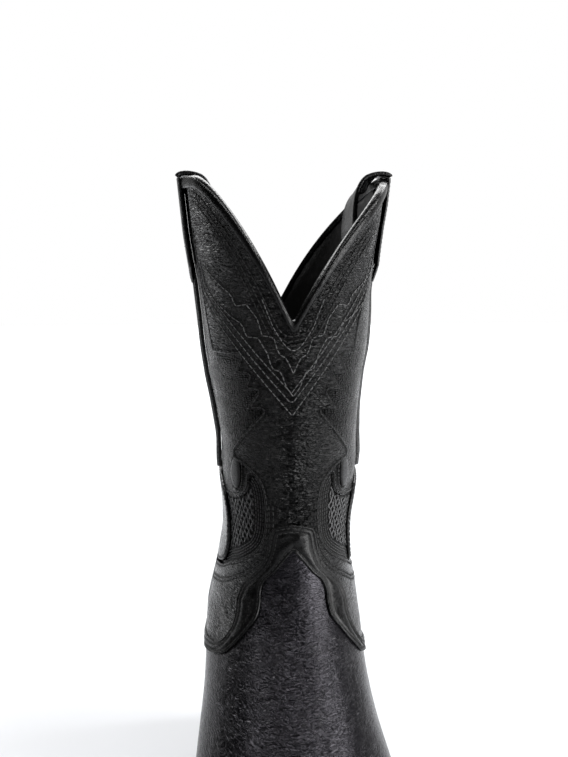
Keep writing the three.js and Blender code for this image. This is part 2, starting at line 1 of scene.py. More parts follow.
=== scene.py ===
# A left western boot in detail, made around its CAD frame.
# The pattern of the leather is worked out in millimetres on the last; pieces are in metres.
import json
import math

import bpy
import numpy as np
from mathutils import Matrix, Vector, noise
from mathutils.geometry import delaunay_2d_cdt
from mathutils.kdtree import KDTree

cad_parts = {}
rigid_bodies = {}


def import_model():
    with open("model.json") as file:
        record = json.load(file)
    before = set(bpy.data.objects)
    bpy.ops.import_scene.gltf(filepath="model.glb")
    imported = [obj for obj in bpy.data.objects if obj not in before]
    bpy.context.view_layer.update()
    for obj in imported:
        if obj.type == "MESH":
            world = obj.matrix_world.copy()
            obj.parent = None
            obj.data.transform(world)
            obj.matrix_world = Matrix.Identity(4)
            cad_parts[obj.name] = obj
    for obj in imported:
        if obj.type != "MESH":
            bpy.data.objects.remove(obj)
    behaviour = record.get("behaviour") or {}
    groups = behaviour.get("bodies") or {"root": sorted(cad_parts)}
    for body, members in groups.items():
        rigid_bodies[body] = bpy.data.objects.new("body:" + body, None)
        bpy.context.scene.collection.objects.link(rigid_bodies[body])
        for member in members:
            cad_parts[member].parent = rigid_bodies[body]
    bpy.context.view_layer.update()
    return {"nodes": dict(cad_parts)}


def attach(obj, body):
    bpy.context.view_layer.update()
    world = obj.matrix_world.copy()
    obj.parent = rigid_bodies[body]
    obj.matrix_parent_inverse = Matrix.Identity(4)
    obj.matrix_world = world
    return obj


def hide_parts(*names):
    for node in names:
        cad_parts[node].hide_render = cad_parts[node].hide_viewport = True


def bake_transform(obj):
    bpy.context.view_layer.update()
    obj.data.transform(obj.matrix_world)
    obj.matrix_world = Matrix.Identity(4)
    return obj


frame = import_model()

# ---------------------------------------------------------------- driving dimensions (mm)
SHIFT_X = 0.946  # the CAD centres the boot on its box, so the last moves by this much in x
FRAME_SHIFT = 0.572  # and by this much in y
SOLE_STACK = 12.3
HEEL_RISE = 38.3
ARCH_START = -55
ARCH_LENGTH = 130
TOE_SPRING = 6
SPRING_START = -98
SPRING_LENGTH = 40
LASTED_HEIGHT = 140
TOP_LEVEL = 352
FOOT_LEVEL = 25  # the foot's widths fade into the shaft's above this level
ANKLE_BLEND = 110
TOE_SWING = 8
SWING_START = -15
SWING_LENGTH = 125
SEAM = 89.6  # front pieces end at this turn
BACK_SEAM = 90.4  # back pieces start here
FAR_BACK_SEAM = 269.6
SEAM_GAP = 0.3
FEATHER = -3.4
LINING_JOIN = 119.5
SCALLOP_LOW = 271
EAR_RISE = 77

LINING = (0.0, 1.1)
INLAY = (1.4, 2.3)
OUTER = (2.34, 4.2)
TRIM = (4.24, 5.7)

CELL = 1.15  # spacing of the points of a detailed surface
BACK_CELL = CELL * 1.35
COARSE = 5.0  # and of a hidden one

MM = 0.001
WHITE = (1, 1, 1, 1)


def travelled(points):
    """The distance covered at each point of a line."""
    return np.concatenate([[0], np.cumsum(np.linalg.norm(np.diff(points, axis=0), axis=1))])


def at_distance(where, length, points):
    """Points of a plane line at the given distances along it."""
    return np.column_stack([np.interp(where, length, points[:, 0]), np.interp(where, length, points[:, 1])])


def closing(points):
    """The line with its first point repeated at its end."""
    return np.vstack([points, points[:1]])


def band_faces(rows, count):
    """Four-sided faces between neighbouring closed rings of count points."""
    faces = []
    for i in range(rows - 1):
        for k in range(count):
            a, b = i * count + k, i * count + (k + 1) % count
            faces.append((a, b, b + count, a + count))
    return faces


def end_faces(rows, count):
    """The two ends of a run of rings."""
    last = (rows - 1) * count
    return [tuple(range(count - 1, -1, -1)), tuple(last + k for k in range(count))]


# ---------------------------------------------------------------- the last
def smooth(t):
    t = np.clip(t, 0.0, 1.0)
    return t * t * (3 - 2 * t)


def curve_through(points):
    """A curve through the points that never overshoots them."""
    xs, ys = np.array(points, float).T
    width = np.diff(xs)
    rise = np.diff(ys) / width
    slopes = np.zeros_like(ys)
    slopes[0], slopes[-1] = rise[0], rise[-1]
    for i in range(1, len(xs) - 1):
        if rise[i - 1] * rise[i] > 0:
            a, b = 2 * width[i] + width[i - 1], width[i] + 2 * width[i - 1]
            slopes[i] = (a + b) / (a / rise[i - 1] + b / rise[i])

    def at(x):
        x = np.clip(np.asarray(x, float), xs[0], xs[-1])
        i = np.clip(np.searchsorted(xs, x, side="right") - 1, 0, len(xs) - 2)
        t = (x - xs[i]) / width[i]
        flat = (1 + 2 * t) * (1 - t) ** 2 * ys[i] + t * t * (3 - 2 * t) * ys[i + 1]
        return flat + width[i] * (t * (1 - t) ** 2 * slopes[i] + t * t * (t - 1) * slopes[i + 1])

    return at


# Level above the feather line, front end, front rounding radius and power, back end,
# back rounding radius, half width.
LEVELS = np.array([
    (-4, -137.5, 27, 2.8, 136, 41, 33),
    (0, -137.5, 27, 2.8, 136, 41, 33),
    (12, -138, 30, 2.8, 138, 42, 34),
    (24, -133, 46, 2.5, 140.5, 46, 35),
    (34, -118, 62, 2.2, 141.5, 50, 36),
    (42, -101, 72, 2.0, 141.5, 52, 36.5),
    (52, -83, 78, 2.0, 141, 54, 37),
    (64, -65, 80, 2.0, 139.5, 56, 37.3),
    (80, -46, 80, 2.0, 137, 57, 37.5),
    (98, -25, 76, 2.0, 133, 58, 37),
    (118, -5, 70, 2.0, 128.5, 60, 35.5),
    (138, 7, 70, 2.0, 125.5, 70, 34.2),
    (160, 12, 70, 2.0, 124.5, 70, 34),
    (190, 14, 70, 2.0, 126, 70, 37),
    (225, 13, 70, 2.0, 129.5, 70, 42),
    (270, 9.5, 70, 2.0, 135, 70, 47.8),
    (310, 7, 70, 2.0, 139, 70, 52.5),
    (352, 5, 70, 2.0, 142, 70, 57),
], float)
LEVEL_CURVES = [curve_through(np.column_stack([LEVELS[:, 0], LEVELS[:, i]])) for i in range(1, 7)]
MEDIAL_FOOT = curve_through([
    (-140, 38), (-115, 43.5), (-90, 47.5), (-75, 48.5), (-50, 48), (-15, 44.5),
    (20, 39), (60, 33.5), (100, 31), (125, 30), (145, 29)])
LATERAL_FOOT = curve_through([
    (-140, 38), (-115, 44), (-90, 48), (-68, 49.5), (-40, 46.5), (-5, 39.5),
    (30, 34.5), (60, 32), (100, 30.5), (125, 30), (145, 29)])


# How much the sides stand out from the rounded section at each level.
MEDIAL_FULLNESS = curve_through([
    (0, 0), (25, 1), (50, 2.8), (67, 3.4), (89, 4), (103, 3.7), (115, 2.6), (130, 0.8),
    (138, -0.4), (155, -2.8), (174, -2.8), (191, -3.6), (207, -5.2), (224, -4.8), (240, -3.7),
    (256, -3.3), (273, -3.6), (288, -3.6), (305, -2.6), (321, -1.9), (352, -1.8)])
LATERAL_FULLNESS = curve_through([
    (0, 0), (45, -0.6), (77, -2), (95, -1), (123, -0.6), (138, -1.7), (156, -1.6), (175, 0.6),
    (191, 0.6), (207, -1.5), (223, -3.3), (239, -3.6), (256, -2.6), (273, -3.6), (288, -5),
    (305, -5), (321, -4.6), (337, -3.5), (352, -3.4)])
SIDE_SPREAD = 50


def feather_height(y):
    arch = HEEL_RISE * smooth((y - ARCH_START) / ARCH_LENGTH)
    return SOLE_STACK + arch + TOE_SPRING * np.clip((SPRING_START - y) / SPRING_LENGTH, 0, 2) ** 2


def last_base(u, v):
    """The last's surface: u is the turn in degrees from the front ridge, positive on the
    outer side, and v the height above the feather line."""
    front, front_radius, power, back, back_radius, width = [c(v) for c in LEVEL_CURVES]
    turned = np.mod(u + 180, 360) - 180
    side = np.where(turned < 0, -1.0, 1.0)
    half_length = (back - front) / 2
    c = np.cos(np.radians(turned))
    y = (front + back) / 2 - half_length * c
    near_front = 1 - np.clip(half_length * (1 - c) / np.minimum(front_radius, half_length), 0, 1)
    near_back = 1 - np.clip(half_length * (1 + c) / np.minimum(back_radius, half_length), 0, 1)
    rounding = np.clip(1 - near_front ** power, 0, 1) ** (1 / power)
    rounding = rounding * np.sqrt(np.clip(1 - near_back ** 2, 0, 1))
    foot = np.where(side < 0, MEDIAL_FOOT(y), LATERAL_FOOT(y))
    k = smooth((v - FOOT_LEVEL) / ANKLE_BLEND)
    fullness = np.where(side < 0, MEDIAL_FULLNESS(v), LATERAL_FULLNESS(v))
    near_seam = smooth(1 - np.abs(np.abs(turned) - 90) / SIDE_SPREAD)
    half = ((1 - k) * foot + k * width) * rounding + fullness * near_seam
    swing = -TOE_SWING * np.clip((SWING_START - y) / SWING_LENGTH, 0, 1.3) ** 1.5
    z = v + feather_height(y) * (1 - smooth(v / LASTED_HEIGHT))
    return np.stack([swing + side * half, y, z], -1)


def last_normal(u, v):
    step = 0.4
    across = last_base(u + step, v) - last_base(u - step, v)
    upper = np.minimum(v + step, TOP_LEVEL)
    up = last_base(u, upper) - last_base(u, upper - 2 * step)
    normal = np.cross(across, up)
    normal = normal / np.linalg.norm(normal, axis=-1, keepdims=True)
    y = last_base(u, v)[..., 1]
    slope = feather_height(y + 0.5) - feather_height(y - 0.5)
    normal[..., 2] += slope * normal[..., 1] * (1 - smooth(v / LASTED_HEIGHT))
    return normal


def on_last(p, w=0.0):
    """Points of the last at (u, v) rows of p, w mm out along the normal."""
    p = np.asarray(p, float)
    w = np.broadcast_to(np.asarray(w, float), p.shape[:-1])
    point = last_base(p[..., 0], p[..., 1]) + last_normal(p[..., 0], p[..., 1]) * w[..., None]
    return point + (SHIFT_X, FRAME_SHIFT, 0)


# ---------------------------------------------------------------- curves on a surface
def rounded(points, count=7):
    """A smooth curve through the points."""
    p = np.array(points, float)
    ends = np.vstack([2 * p[0] - p[1], p, 2 * p[-1] - p[-2]])
    out = []
    t = np.linspace(0, 1, count, endpoint=False)[:, None]
    for a, b, c, d in zip(ends, ends[1:], ends[2:], ends[3:]):
        h = t * t
        out.append(0.5 * (2 * b + (c - a) * t + (2 * a - 5 * b + 4 * c - d) * h
                          + (3 * b - a - 3 * c + d) * h * t))
    return np.vstack(out + [p[-1:]])


def mirrored(path):
    return (np.array(path, float) * (-1, 1))[::-1]


def raised(path, by):
    return np.array(path, float) + (0, by)


def on_back(path):
    return np.array(path, float) * (-1, 1) + (180, 0)


def both_sides(half):
    half = np.array(half, float)
    return np.vstack([mirrored(half[1:]), half])


def back_sides(half):
    """A half path of the back, from the seam to the rear ridge, and its other half."""
    half = np.array(half, float)
    return np.vstack([half, (half * (-1, 1) + (360, 0))[-2::-1]])


def resampled(path, step, place=on_last, keep_corners=False):
    """The path with points about step mm apart along the surface."""
    path = np.asarray(path, float)
    if keep_corners:
        size = np.linalg.norm(np.diff(place(path), axis=0), axis=1)
        parts = np.maximum(np.round(size / step), 1).astype(int)
        start = np.repeat(np.arange(len(parts)), parts)
        first = np.repeat(np.cumsum(parts) - parts, parts)
        t = ((np.arange(len(start)) - first) / parts[start])[:, None]
        return np.vstack([path[start] + (path[start + 1] - path[start]) * t, path[-1:]])
    fine = [a + (b - a) * np.linspace(0, 1, max(2, int(np.abs(b - a).max() * 2) + 2), endpoint=False)[:, None]
            for a, b in zip(path, path[1:])]
    fine = np.vstack(fine + [path[-1:]])
    length = travelled(place(fine))
    return at_distance(np.linspace(0, length[-1], max(1, int(round(length[-1] / step))) + 1), length, fine)


def nearest(points, step_points):
    tree = KDTree(len(step_points))
    for i, p in enumerate(step_points):
        tree.insert(p, i)
    tree.balance()
    return np.array([tree.find(p)[2] for p in points])


def beside(path, distance, place=on_last, closed=False):
    """The path moved sideways by a distance in mm, to the left of its direction for plus."""
    p = resampled(path, 0.8, place, keep_corners=closed)
    e = 0.2
    along = np.gradient(p, axis=0)
    if closed:
        along[0] = along[-1] = p[1] - p[-2]
    du = (place(p + (e, 0)) - place(p - (e, 0))) / (2 * e)
    dv = (place(p + (0, e)) - place(p - (0, e))) / (2 * e)
    g11, g12, g22 = (du * du).sum(1), (du * dv).sum(1), (dv * dv).sum(1)
    turned = np.column_stack([-along[:, 1], along[:, 0]])
    det = g11 * g22 - g12 * g12
    n = np.column_stack([g22 * turned[:, 0] - g12 * turned[:, 1],
                         -g12 * turned[:, 0] + g11 * turned[:, 1]]) / det[:, None]
    size = np.sqrt(g11 * n[:, 0] ** 2 + 2 * g12 * n[:, 0] * n[:, 1] + g22 * n[:, 1] ** 2)
    moved = p + n / np.maximum(size, 1e-9)[:, None] * distance
    far = nearest(place(moved), place(resampled(p, 0.3, place, True)))
    return moved[far > abs(distance) * 0.9]


def inside(outline, p):
    x, y = p[:, 0], p[:, 1]
    count = np.zeros(len(p), bool)
    for (x1, y1), (x2, y2) in zip(outline, np.roll(outline, -1, axis=0)):
        if y1 != y2:
            crosses = ((y1 > y) != (y2 > y)) & (x < (x2 - x1) * (y - y1) / (y2 - y1) + x1)
            count ^= crosses
    return count


# ---------------------------------------------------------------- meshes
def mesh_object(name, points, faces, grain=None, marks=None):
    """An object from points in mm, with its leather coordinates as an attribute."""
    mesh = bpy.data.meshes.new(name)
    mesh.from_pydata((np.asarray(points) * MM).tolist(), [], [list(f) for f in faces])
    mesh.validate()
    mesh.shade_smooth()
    if grain is None:
        grain = points
    layer = mesh.attributes.new("grain", "FLOAT_VECTOR", "POINT")
    values = np.zeros((len(points), 3))
    values[:, :np.shape(grain)[1]] = grain
    layer.data.foreach_set("vector", values.astype(np.float32).ravel())
    for label, value in (marks or {}).items():
        layer = mesh.attributes.new(label, "FLOAT", "POINT")
        layer.data.foreach_set("value", np.asarray(value, np.float32))
    obj = bpy.data.objects.new(name, mesh)
    bpy.context.scene.collection.objects.link(obj)
    return obj


def triangulated(points, outline_count):
    """Delaunay triangles of plane points, of which the first ones are the closed outline."""
    verts, _, faces, origins, _, _ = delaunay_2d_cdt(
        [Vector(p) for p in points], [], [list(range(outline_count))], 1, 1e-7, True)
    first = [min(o) if o else -1 for o in origins]
    verts = np.array([tuple(v) for v in verts])
    faces = np.array([tuple(f) for f in faces])
    kept = inside(np.asarray(points)[:outline_count], verts[faces].mean(1))
    return verts, [tuple(f) for f in faces[kept].tolist()], first


class Last:
    """The last as a domain to cut panels from: charts are in mm, near enough."""

    def __init__(self, level, mid=0.0):
        self.u = mid + np.sign(np.linspace(-1, 1, 721)) * np.abs(np.linspace(-1, 1, 721)) ** 1.4 * 130
        base = last_base(self.u, np.full(self.u.shape, float(level)))
        length = travelled(base)
        self.s = length - length[len(length) // 2]
        self.place = on_last

    def chart(self, p):
        return np.column_stack([np.interp(p[:, 0], self.u, self.s), p[:, 1]])

    def unchart(self, q):
        return np.column_stack([np.interp(q[:, 0], self.s, self.u), q[:, 1]])

    def grid(self, low, high, cell):
        rows = []
        v, odd = low[1] + cell / 2, 0
        span = np.linspace(0, 1, 240)
        span = low[0] + (high[0] - low[0]) * span
        if low[0] < 0 < high[0]:
            bend = np.sign(span) * (np.abs(span) / max(high[0], -low[0])) ** 1.5 * max(high[0], -low[0])
            span = np.unique(np.concatenate([span, bend]))
            span = span[(span >= low[0]) & (span <= high[0])]
        while v < high[1]:
            line = last_base(span, np.full(span.shape, v))
            length = travelled(line)
            at = np.arange(cell * (0.5 if odd else 1.0), length[-1], cell)
            rows.append(np.column_stack([np.interp(at, length, span), np.full(at.shape, v)]))
            rise = np.linalg.norm(last_base(span, np.full(span.shape, v + 1.0)) - line, axis=1)
            stretch = np.percentile(rise, 80)
            v, odd = v + cell * 0.9 / min(stretch, 1.9), 1 - odd
        return np.vstack(rows)

    grain = chart


class Plane:
    """A level domain: x and y in mm, with w the height above a line that depends on y."""

    def __init__(self, height):
        self.height = height

    def place(self, p, w=0.0):
        p = np.asarray(p, float)
        w = np.broadcast_to(np.asarray(w, float), p.shape[:-1])
        return np.stack([p[..., 0], p[..., 1], self.height(p[..., 1] - FRAME_SHIFT) + w], -1)

    def chart(self, p):
        return np.array(p, float)

    unchart = grain = chart

    def grid(self, low, high, cell):
        xs, ys = np.arange(low[0], high[0], cell), np.arange(low[1], high[1], cell)
        gx, gy = np.meshgrid(xs, ys)
        gx = gx + (np.arange(len(ys)) % 2)[:, None] * cell / 2
        return np.column_stack([gx.ravel(), gy.ravel()])


GROOVE_WIDTH = 0.62
RELIEF_FADE = 2.5  # relief and wear fade out this near to an edge
WEAR_FADE = 2.2
EDGE_SHARE = 0.62  # the share of a sheet's thickness that its rounded edge takes


def skin(domain, outline, cell, layer, edge=1.0, rows=(), relief=None, groove=0.35, w_of=None):
    """Points, faces and grain of a closed sheet between two offsets, with a rounded upper
    edge, grooves under its stitch rows and a relief."""
    low_w, high_w = layer
    border = resampled(closing(outline), max(cell, 1.0) * 0.9, domain.place, True)[:-1]
    area = np.sum(border[:, 0] * np.roll(border[:, 1], -1) - border[:, 1] * np.roll(border[:, 0], -1))
    if area < 0:
        border = border[::-1]
    closed = closing(border)
    border_xyz = domain.place(resampled(closed, 0.35, domain.place, True))
    low, high = border.min(0), border.max(0)
    extra = [beside(closed, d * edge, domain.place, True) for d in (0.35, 0.75, 1.3)] if cell < 3 else []
    line_xyz = None
    if len(rows):
        lines = [resampled(r, 0.9, domain.place) for r in rows]
        line_xyz = np.vstack([domain.place(resampled(r, 0.35, domain.place)) for r in rows])
        for line in lines:
            extra += [line, beside(line, 0.75, domain.place), beside(line, -0.75, domain.place)]
    extra = [e for e in extra if len(e)]
    inner_points = domain.grid(low, high, cell)
    inner_points = inner_points[inside(border, inner_points)]
    away = nearest(domain.place(inner_points), border_xyz) > (1.9 * edge if cell < 3 else cell * 0.5)
    if line_xyz is not None:
        away &= nearest(domain.place(inner_points), line_xyz) > 1.25
    points = [border, inner_points[away]]
    if extra:
        added = np.vstack(extra)
        added = added[inside(border, added)]
        added = added[nearest(domain.place(added), border_xyz) > 0.3 * edge]
        points.append(added)
    flat, faces, first = triangulated(domain.chart(np.vstack(points)), len(border))
    p = domain.unchart(flat)
    base = domain.place(p)
    gap = nearest(base, border_xyz)
    rim = np.clip(1 - gap / edge, 0, 1)
    w = np.full(len(p), high_w) - (high_w - low_w) * EDGE_SHARE * (1 - np.sqrt(np.clip(1 - rim ** 2, 0, 1)))
    marks = {"groove": np.zeros(len(p))}
    if line_xyz is not None:
        # the groove mark sinks the sheet under its stitch rows, and the leather material also paints shade along
        # it
        marks["groove"] = np.exp(-(nearest(base, line_xyz) / GROOVE_WIDTH) ** 2)
        w -= groove * marks["groove"]
    if relief is not None:
        height, worn = relief(p, domain.chart(p), base)
        w += height * smooth(gap / RELIEF_FADE)
        marks["wrinkle"] = worn * smooth(gap / WEAR_FADE)
    if w_of is not None:
        w += w_of(p)
    top = domain.place(p, w)
    on_border = {k: i for i, k in enumerate(first) if 0 <= k < len(border)}
    loop = [on_border[k] for k in range(len(border)) if k in on_border]
    # the hidden side, on a coarser net over the same border
    under = domain.grid(low, high, max(cell * 3, COARSE))
    under = under[inside(border, under)]
    if len(under):
        under = under[nearest(domain.place(under), border_xyz) > 1.5]
    loop_p = p[loop]
    flat2, faces2, first2 = triangulated(domain.chart(np.vstack([loop_p, under])), len(loop))
    q = domain.unchart(flat2)
    bottom_w = np.full(len(q), low_w) + (w_of(q) if w_of is not None else 0)
    bottom = domain.place(q, bottom_w)
    start = len(top)
    faces = list(faces) + [tuple(start + i for i in reversed(f)) for f in faces2]
    lower = {k: start + i for i, k in enumerate(first2) if 0 <= k < len(loop)}
    for k in range(len(loop)):
        n = (k + 1) % len(loop)
        if k in lower and n in lower:
            faces.append((loop[k], lower[k], lower[n], loop[n]))
    grain = np.vstack([domain.grain(p), domain.grain(q)])
    marks = {key: np.concatenate([value, np.zeros(len(q))]) for key, value in marks.items()}
    return np.vstack([top, bottom]), faces, grain, marks


def sheet(name, domain, outline, layer, cell=CELL, **details):
    return mesh_object(name, *skin(domain, np.asarray(outline, float), cell, layer, **details))


def finished(obj, material, slot, *nodes, body="boot"):
    obj.data.materials.append(material)
    if body:
        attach(obj, body)
    if nodes:
        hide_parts(*nodes)
    return obj


# ---------------------------------------------------------------- stitches
STITCH_PITCH = 3.0
STITCH_SIDES = 5


def stitches(name, runs, radius=0.34, pitch=STITCH_PITCH, share=0.84):
    """One mesh of short threads along runs of (path, w, place)."""
    rings = [(-1.0, 0.35, -0.55), (-0.72, 0.85, -0.05), (0.0, 1.0, 0.22), (0.72, 0.85, -0.05),
             (1.0, 0.35, -0.55)]  # place along the stitch, size, and how far it is lifted
    turn = np.linspace(0, 2 * math.pi, STITCH_SIDES, endpoint=False)
    unit = np.array([(x, r * math.cos(a), r * math.sin(a) + lift) for x, r, lift in rings for a in turn])
    unit_faces = []
    for k in range(len(rings) - 1):
        for i in range(STITCH_SIDES):
            a, b = k * STITCH_SIDES + i, k * STITCH_SIDES + (i + 1) % STITCH_SIDES
            unit_faces.append((a, a + STITCH_SIDES, b + STITCH_SIDES, b))
    unit_faces.append(tuple(range(STITCH_SIDES)))
    unit_faces.append(tuple(range(len(unit) - 1, len(unit) - 1 - STITCH_SIDES, -1)))
    points, faces, count = [], [], 0
    for path, w, place in runs:
        p = resampled(path, pitch, place)
        if len(p) < 2:
            continue
        a, b = place(p[:-1], w), place(p[1:], w)
        lift = place((p[:-1] + p[1:]) / 2, w + 1.0) - place((p[:-1] + p[1:]) / 2, w)
        middle = place((p[:-1] + p[1:]) / 2, w)
        along = b - a
        size = np.linalg.norm(along, axis=1, keepdims=True)
        along = along / size
        side = np.cross(lift, along)
        side /= np.linalg.norm(side, axis=1, keepdims=True)
        lift = np.cross(along, side)
        half = size / 2 * share
        for i in range(len(middle)):
            block = (middle[i] + unit[:, :1] * half[i] * along[i]
                     + radius * (unit[:, 1:2] * side[i] + unit[:, 2:3] * lift[i]))
            points.append(block)
            faces += [tuple(count + k for k in f) for f in unit_faces]
            count += len(unit)
    return mesh_object(name, np.vstack(points), faces)


# ---------------------------------------------------------------- materials
class Graph:
    """A material's node tree, written as calls."""

    def __init__(self, name):
        self.material = bpy.data.materials.new(name)
        self.material.use_nodes = True
        self.tree = self.material.node_tree
        self.tree.nodes.clear()
        output = self.add("OutputMaterial")
        self.shader = self.add("BsdfPrincipled")
        self.tree.links.new(self.shader.outputs[0], output.inputs[0])

    def put(self, node, key, value):
        if isinstance(value, bpy.types.NodeSocket):
            self.tree.links.new(value, node.inputs[key])
        else:
            node.inputs[key].default_value = value

    def add(self, kind, inputs=None, **settings):
        node = self.tree.nodes.new("ShaderNode" + kind)
        for key, value in settings.items():
            setattr(node, key, value)
        for key, value in (inputs or {}).items():
            self.put(node, key, value)
        return node

    def shade(self, **values):
        for key, value in values.items():
            self.put(self.shader, key.replace("_", " "), value)

    def grain(self, scale=(1, 1, 1)):
        where = self.add("Attribute", attribute_name="grain", attribute_type="GEOMETRY")
        return self.add("VectorMath", {0: where.outputs["Vector"], 1: scale}, operation="MULTIPLY").outputs[0]

    def mark(self, name):
        return self.add("Attribute", attribute_name=name, attribute_type="GEOMETRY").outputs["Fac"]

    def objects(self, scale=1000.0):
        where = self.add("TexCoord").outputs["Object"]
        return self.add("VectorMath", {0: where, 3: scale}, operation="SCALE").outputs[0]

    def math(self, operation, a, b=0.0):
        return self.add("Math", {0: a, 1: b}, operation=operation).outputs[0]

    def noise(self, vector, scale, detail=2.0, rough=0.5):
        return self.add("TexNoise", {"Vector": vector, "Scale": scale, "Detail": detail, "Roughness": rough})

    def ramp(self, factor, low, high, start=0.0, end=1.0):
        return self.add("MapRange", {0: factor, 1: start, 2: end, 3: low, 4: high}).outputs[0]

    def mix(self, factor, a, b):
        node = self.add("Mix", data_type="RGBA")
        for key, value in ((0, factor), (6, a), (7, b)):
            self.put(node, key, value)
        return node.outputs[2]

    def warped(self, vector, scale, amount):
        stir = self.noise(vector, scale, 1.0).outputs["Color"]
        centred = self.add("VectorMath", {0: stir, 1: (0.5, 0.5, 0.5)}, operation="SUBTRACT").outputs[0]
        moved = self.add("VectorMath", {0: centred, 3: amount}, operation="SCALE").outputs[0]
        return self.add("VectorMath", {0: vector, 1: moved}, operation="ADD").outputs[0]

    def bump(self, height, distance, strength=1.0, normal=None):
        inputs = {"Height": height, "Distance": distance, "Strength": strength}
        if normal is not None:
            inputs["Normal"] = normal
        return self.add("Bump", inputs).outputs[0]


def rgb(value, tint=(1, 1, 1)):
    return (value * tint[0], value * tint[1], value * tint[2], 1.0)


def leather(name, tone, rough, cell=(2.2, 1.4), depth=0.35, wrinkled=False, tint=(1.0, 0.99, 1.02),
            drawn=(0.12, 0.5), specular=0.28, fine=0.10, shine=WHITE):
    """Dyed grain leather. cell is the size of its pebbles in mm, depth their height in mm, drawn
    how fine its creases are across and along, fine the height of its pores in mm."""
    g = Graph(name)
    where = g.grain()
    stirred = g.warped(where, 0.16, 3.2)
    pebble_at = g.add("VectorMath", {0: stirred, 1: (1 / cell[0], 1 / cell[1], 1 / cell[0])},
                      operation="MULTIPLY").outputs[0]
    edge = g.add("TexVoronoi", {"Vector": pebble_at, "Scale": 1.0}, feature="DISTANCE_TO_EDGE").outputs[0]
    pebble = g.ramp(edge, 0.0, 1.0, 0.0, 0.55 if wrinkled else 0.32)
    small = g.add("TexVoronoi", {"Vector": where, "Scale": 1.9}, feature="SMOOTH_F1").outputs[0]
    patch = g.noise(where, 0.045, 3.0).outputs[0]
    worn = g.noise(where, 0.5, 4.0, 0.6).outputs[0]
    height = g.math("ADD", pebble, g.math("MULTIPLY", small, -0.25))
    if wrinkled:
        # worn places show stronger creases, drawn across the boot
        along = g.add("VectorMath", {0: g.warped(where, 0.07, 7.0), 1: (*drawn, drawn[0])},
                      operation="MULTIPLY").outputs[0]
        line = g.math("ABSOLUTE", g.math("SUBTRACT", g.noise(along, 1.0, 2.0, 0.6).outputs[0], 0.5))
        crest = g.ramp(line, 1.0, 0.0, 0.0, 0.16)
        amount = g.ramp(g.mark("wrinkle"), 0.12, 1.0, 0.0, 0.85)
        height = g.math("ADD", g.math("MULTIPLY", height, 0.8), crest)
        height = g.math("MULTIPLY", height, amount)
    normal = g.bump(height, depth * MM, 1.0)
    normal = g.bump(worn, fine * MM, 1.0, normal)
    shade = g.mix(g.ramp(patch, 0.0, 1.0, 0.3, 0.7), rgb(tone * 0.75, tint), rgb(tone * 1.3, tint))
    # the colour is painted darker along the cracks between the pebbles: a painted shade
    tone_and_painted_crack_shade = g.mix(g.ramp(edge, 0.0, 1.0, 0.0, 0.12), rgb(tone * 0.45, tint), shade)
    groove = g.mark("groove")
    # the colour is painted much darker along the stitch-row grooves: a painted shade over the real sunken groove
    sunk = g.mix(groove, tone_and_painted_crack_shade, rgb(tone * 0.15, tint))
    rough_here = g.math("ADD", g.ramp(worn, rough - 0.07, rough + 0.09, 0.3, 0.7),
                        g.ramp(edge, 0.12, 0.0, 0.0, 0.15))
    rough_here = g.math("ADD", rough_here, g.math("MULTIPLY", groove, 0.4))
    g.shade(Base_Color=sunk, Normal=normal, Roughness=rough_here)
    g.shader.inputs["Specular IOR Level"].default_value = specular
    g.shader.inputs["Specular Tint"].default_value = shine
    return g.material


def inlay_leather(name, tone, rough, dots, depth, specular=0.16):
    """Embossed leather: small dots between waved rows."""
    g = Graph(name)
    where = g.grain()
    stirred = g.warped(where, 0.35, 1.6)
    bead = g.add("TexVoronoi", {"Vector": stirred, "Scale": 1 / dots}, feature="F1")
    bead.inputs["Randomness"].default_value = 0.55
    raised_bead = g.ramp(bead.outputs[0], 1.0, 0.0, 0.1, 0.62)
    wave = g.add("TexWave", {"Vector": stirred, "Scale": 0.32, "Distortion": 5.0, "Detail": 1.0,
                             "Detail Scale": 0.6}, bands_direction="Y").outputs["Fac"]
    height = g.math("ADD", raised_bead, g.math("MULTIPLY", wave, 0.5))
    patch = g.noise(where, 0.08, 3.0).outputs[0]
    # the dots are painted lighter on their tops and darker between them: painted highlight and painted shade
    tint = g.mix(g.ramp(raised_bead, 0.0, 1.0), rgb(tone * 0.35), rgb(tone * 1.4))
    g.shade(Base_Color=tint, Normal=g.bump(height, depth * MM),
            Roughness=g.ramp(patch, rough - 0.08, rough + 0.1, 0.3, 0.7))
    g.shader.inputs["Specular IOR Level"].default_value = specular
    return g.material


def thread_material(name, tone, rough=0.42, sheen=0.3):
    g = Graph(name)
    where = g.objects()
    twist = g.add("TexWave", {"Vector": where, "Scale": 1.6, "Distortion": 1.0}, bands_direction="DIAGONAL")
    tone_mix = g.mix(twist.outputs["Fac"], rgb(tone * 0.6), rgb(tone * 1.25))
    g.shade(Base_Color=tone_mix, Normal=g.bump(twist.outputs["Fac"], 0.1 * MM),
            Roughness=g.ramp(g.noise(where, 0.4).outputs[0], rough - 0.08, rough + 0.1))
    g.shader.inputs["Sheen Weight"].default_value = sheen
    return g.material


def stacked(name, tone, rough, layer=1.6):
    """The cut edge of stacked sole leather, dyed and burnished."""
    g = Graph(name)
    where = g.objects()
    stretched = g.add("VectorMath", {0: where, 1: (0.09, 0.09, 1 / layer)}, operation="MULTIPLY").outputs[0]
    line = g.noise(stretched, 2.2, 4.0, 0.65).outputs[0]
    pore = g.noise(where, 1.4, 3.0).outputs[0]
    shade = g.mix(g.ramp(line, 0.0, 1.0, 0.3, 0.7), rgb(tone * 0.55, (1, 0.9, 0.82)),
                  rgb(tone * 1.5, (1, 0.93, 0.86)))
    relief = g.math("ADD", line, g.math("MULTIPLY", pore, 0.5))
    g.shade(Base_Color=shade, Normal=g.bump(relief, 0.16 * MM),
            Roughness=g.ramp(pore, rough - 0.08, rough + 0.12, 0.3, 0.7))
    return g.material


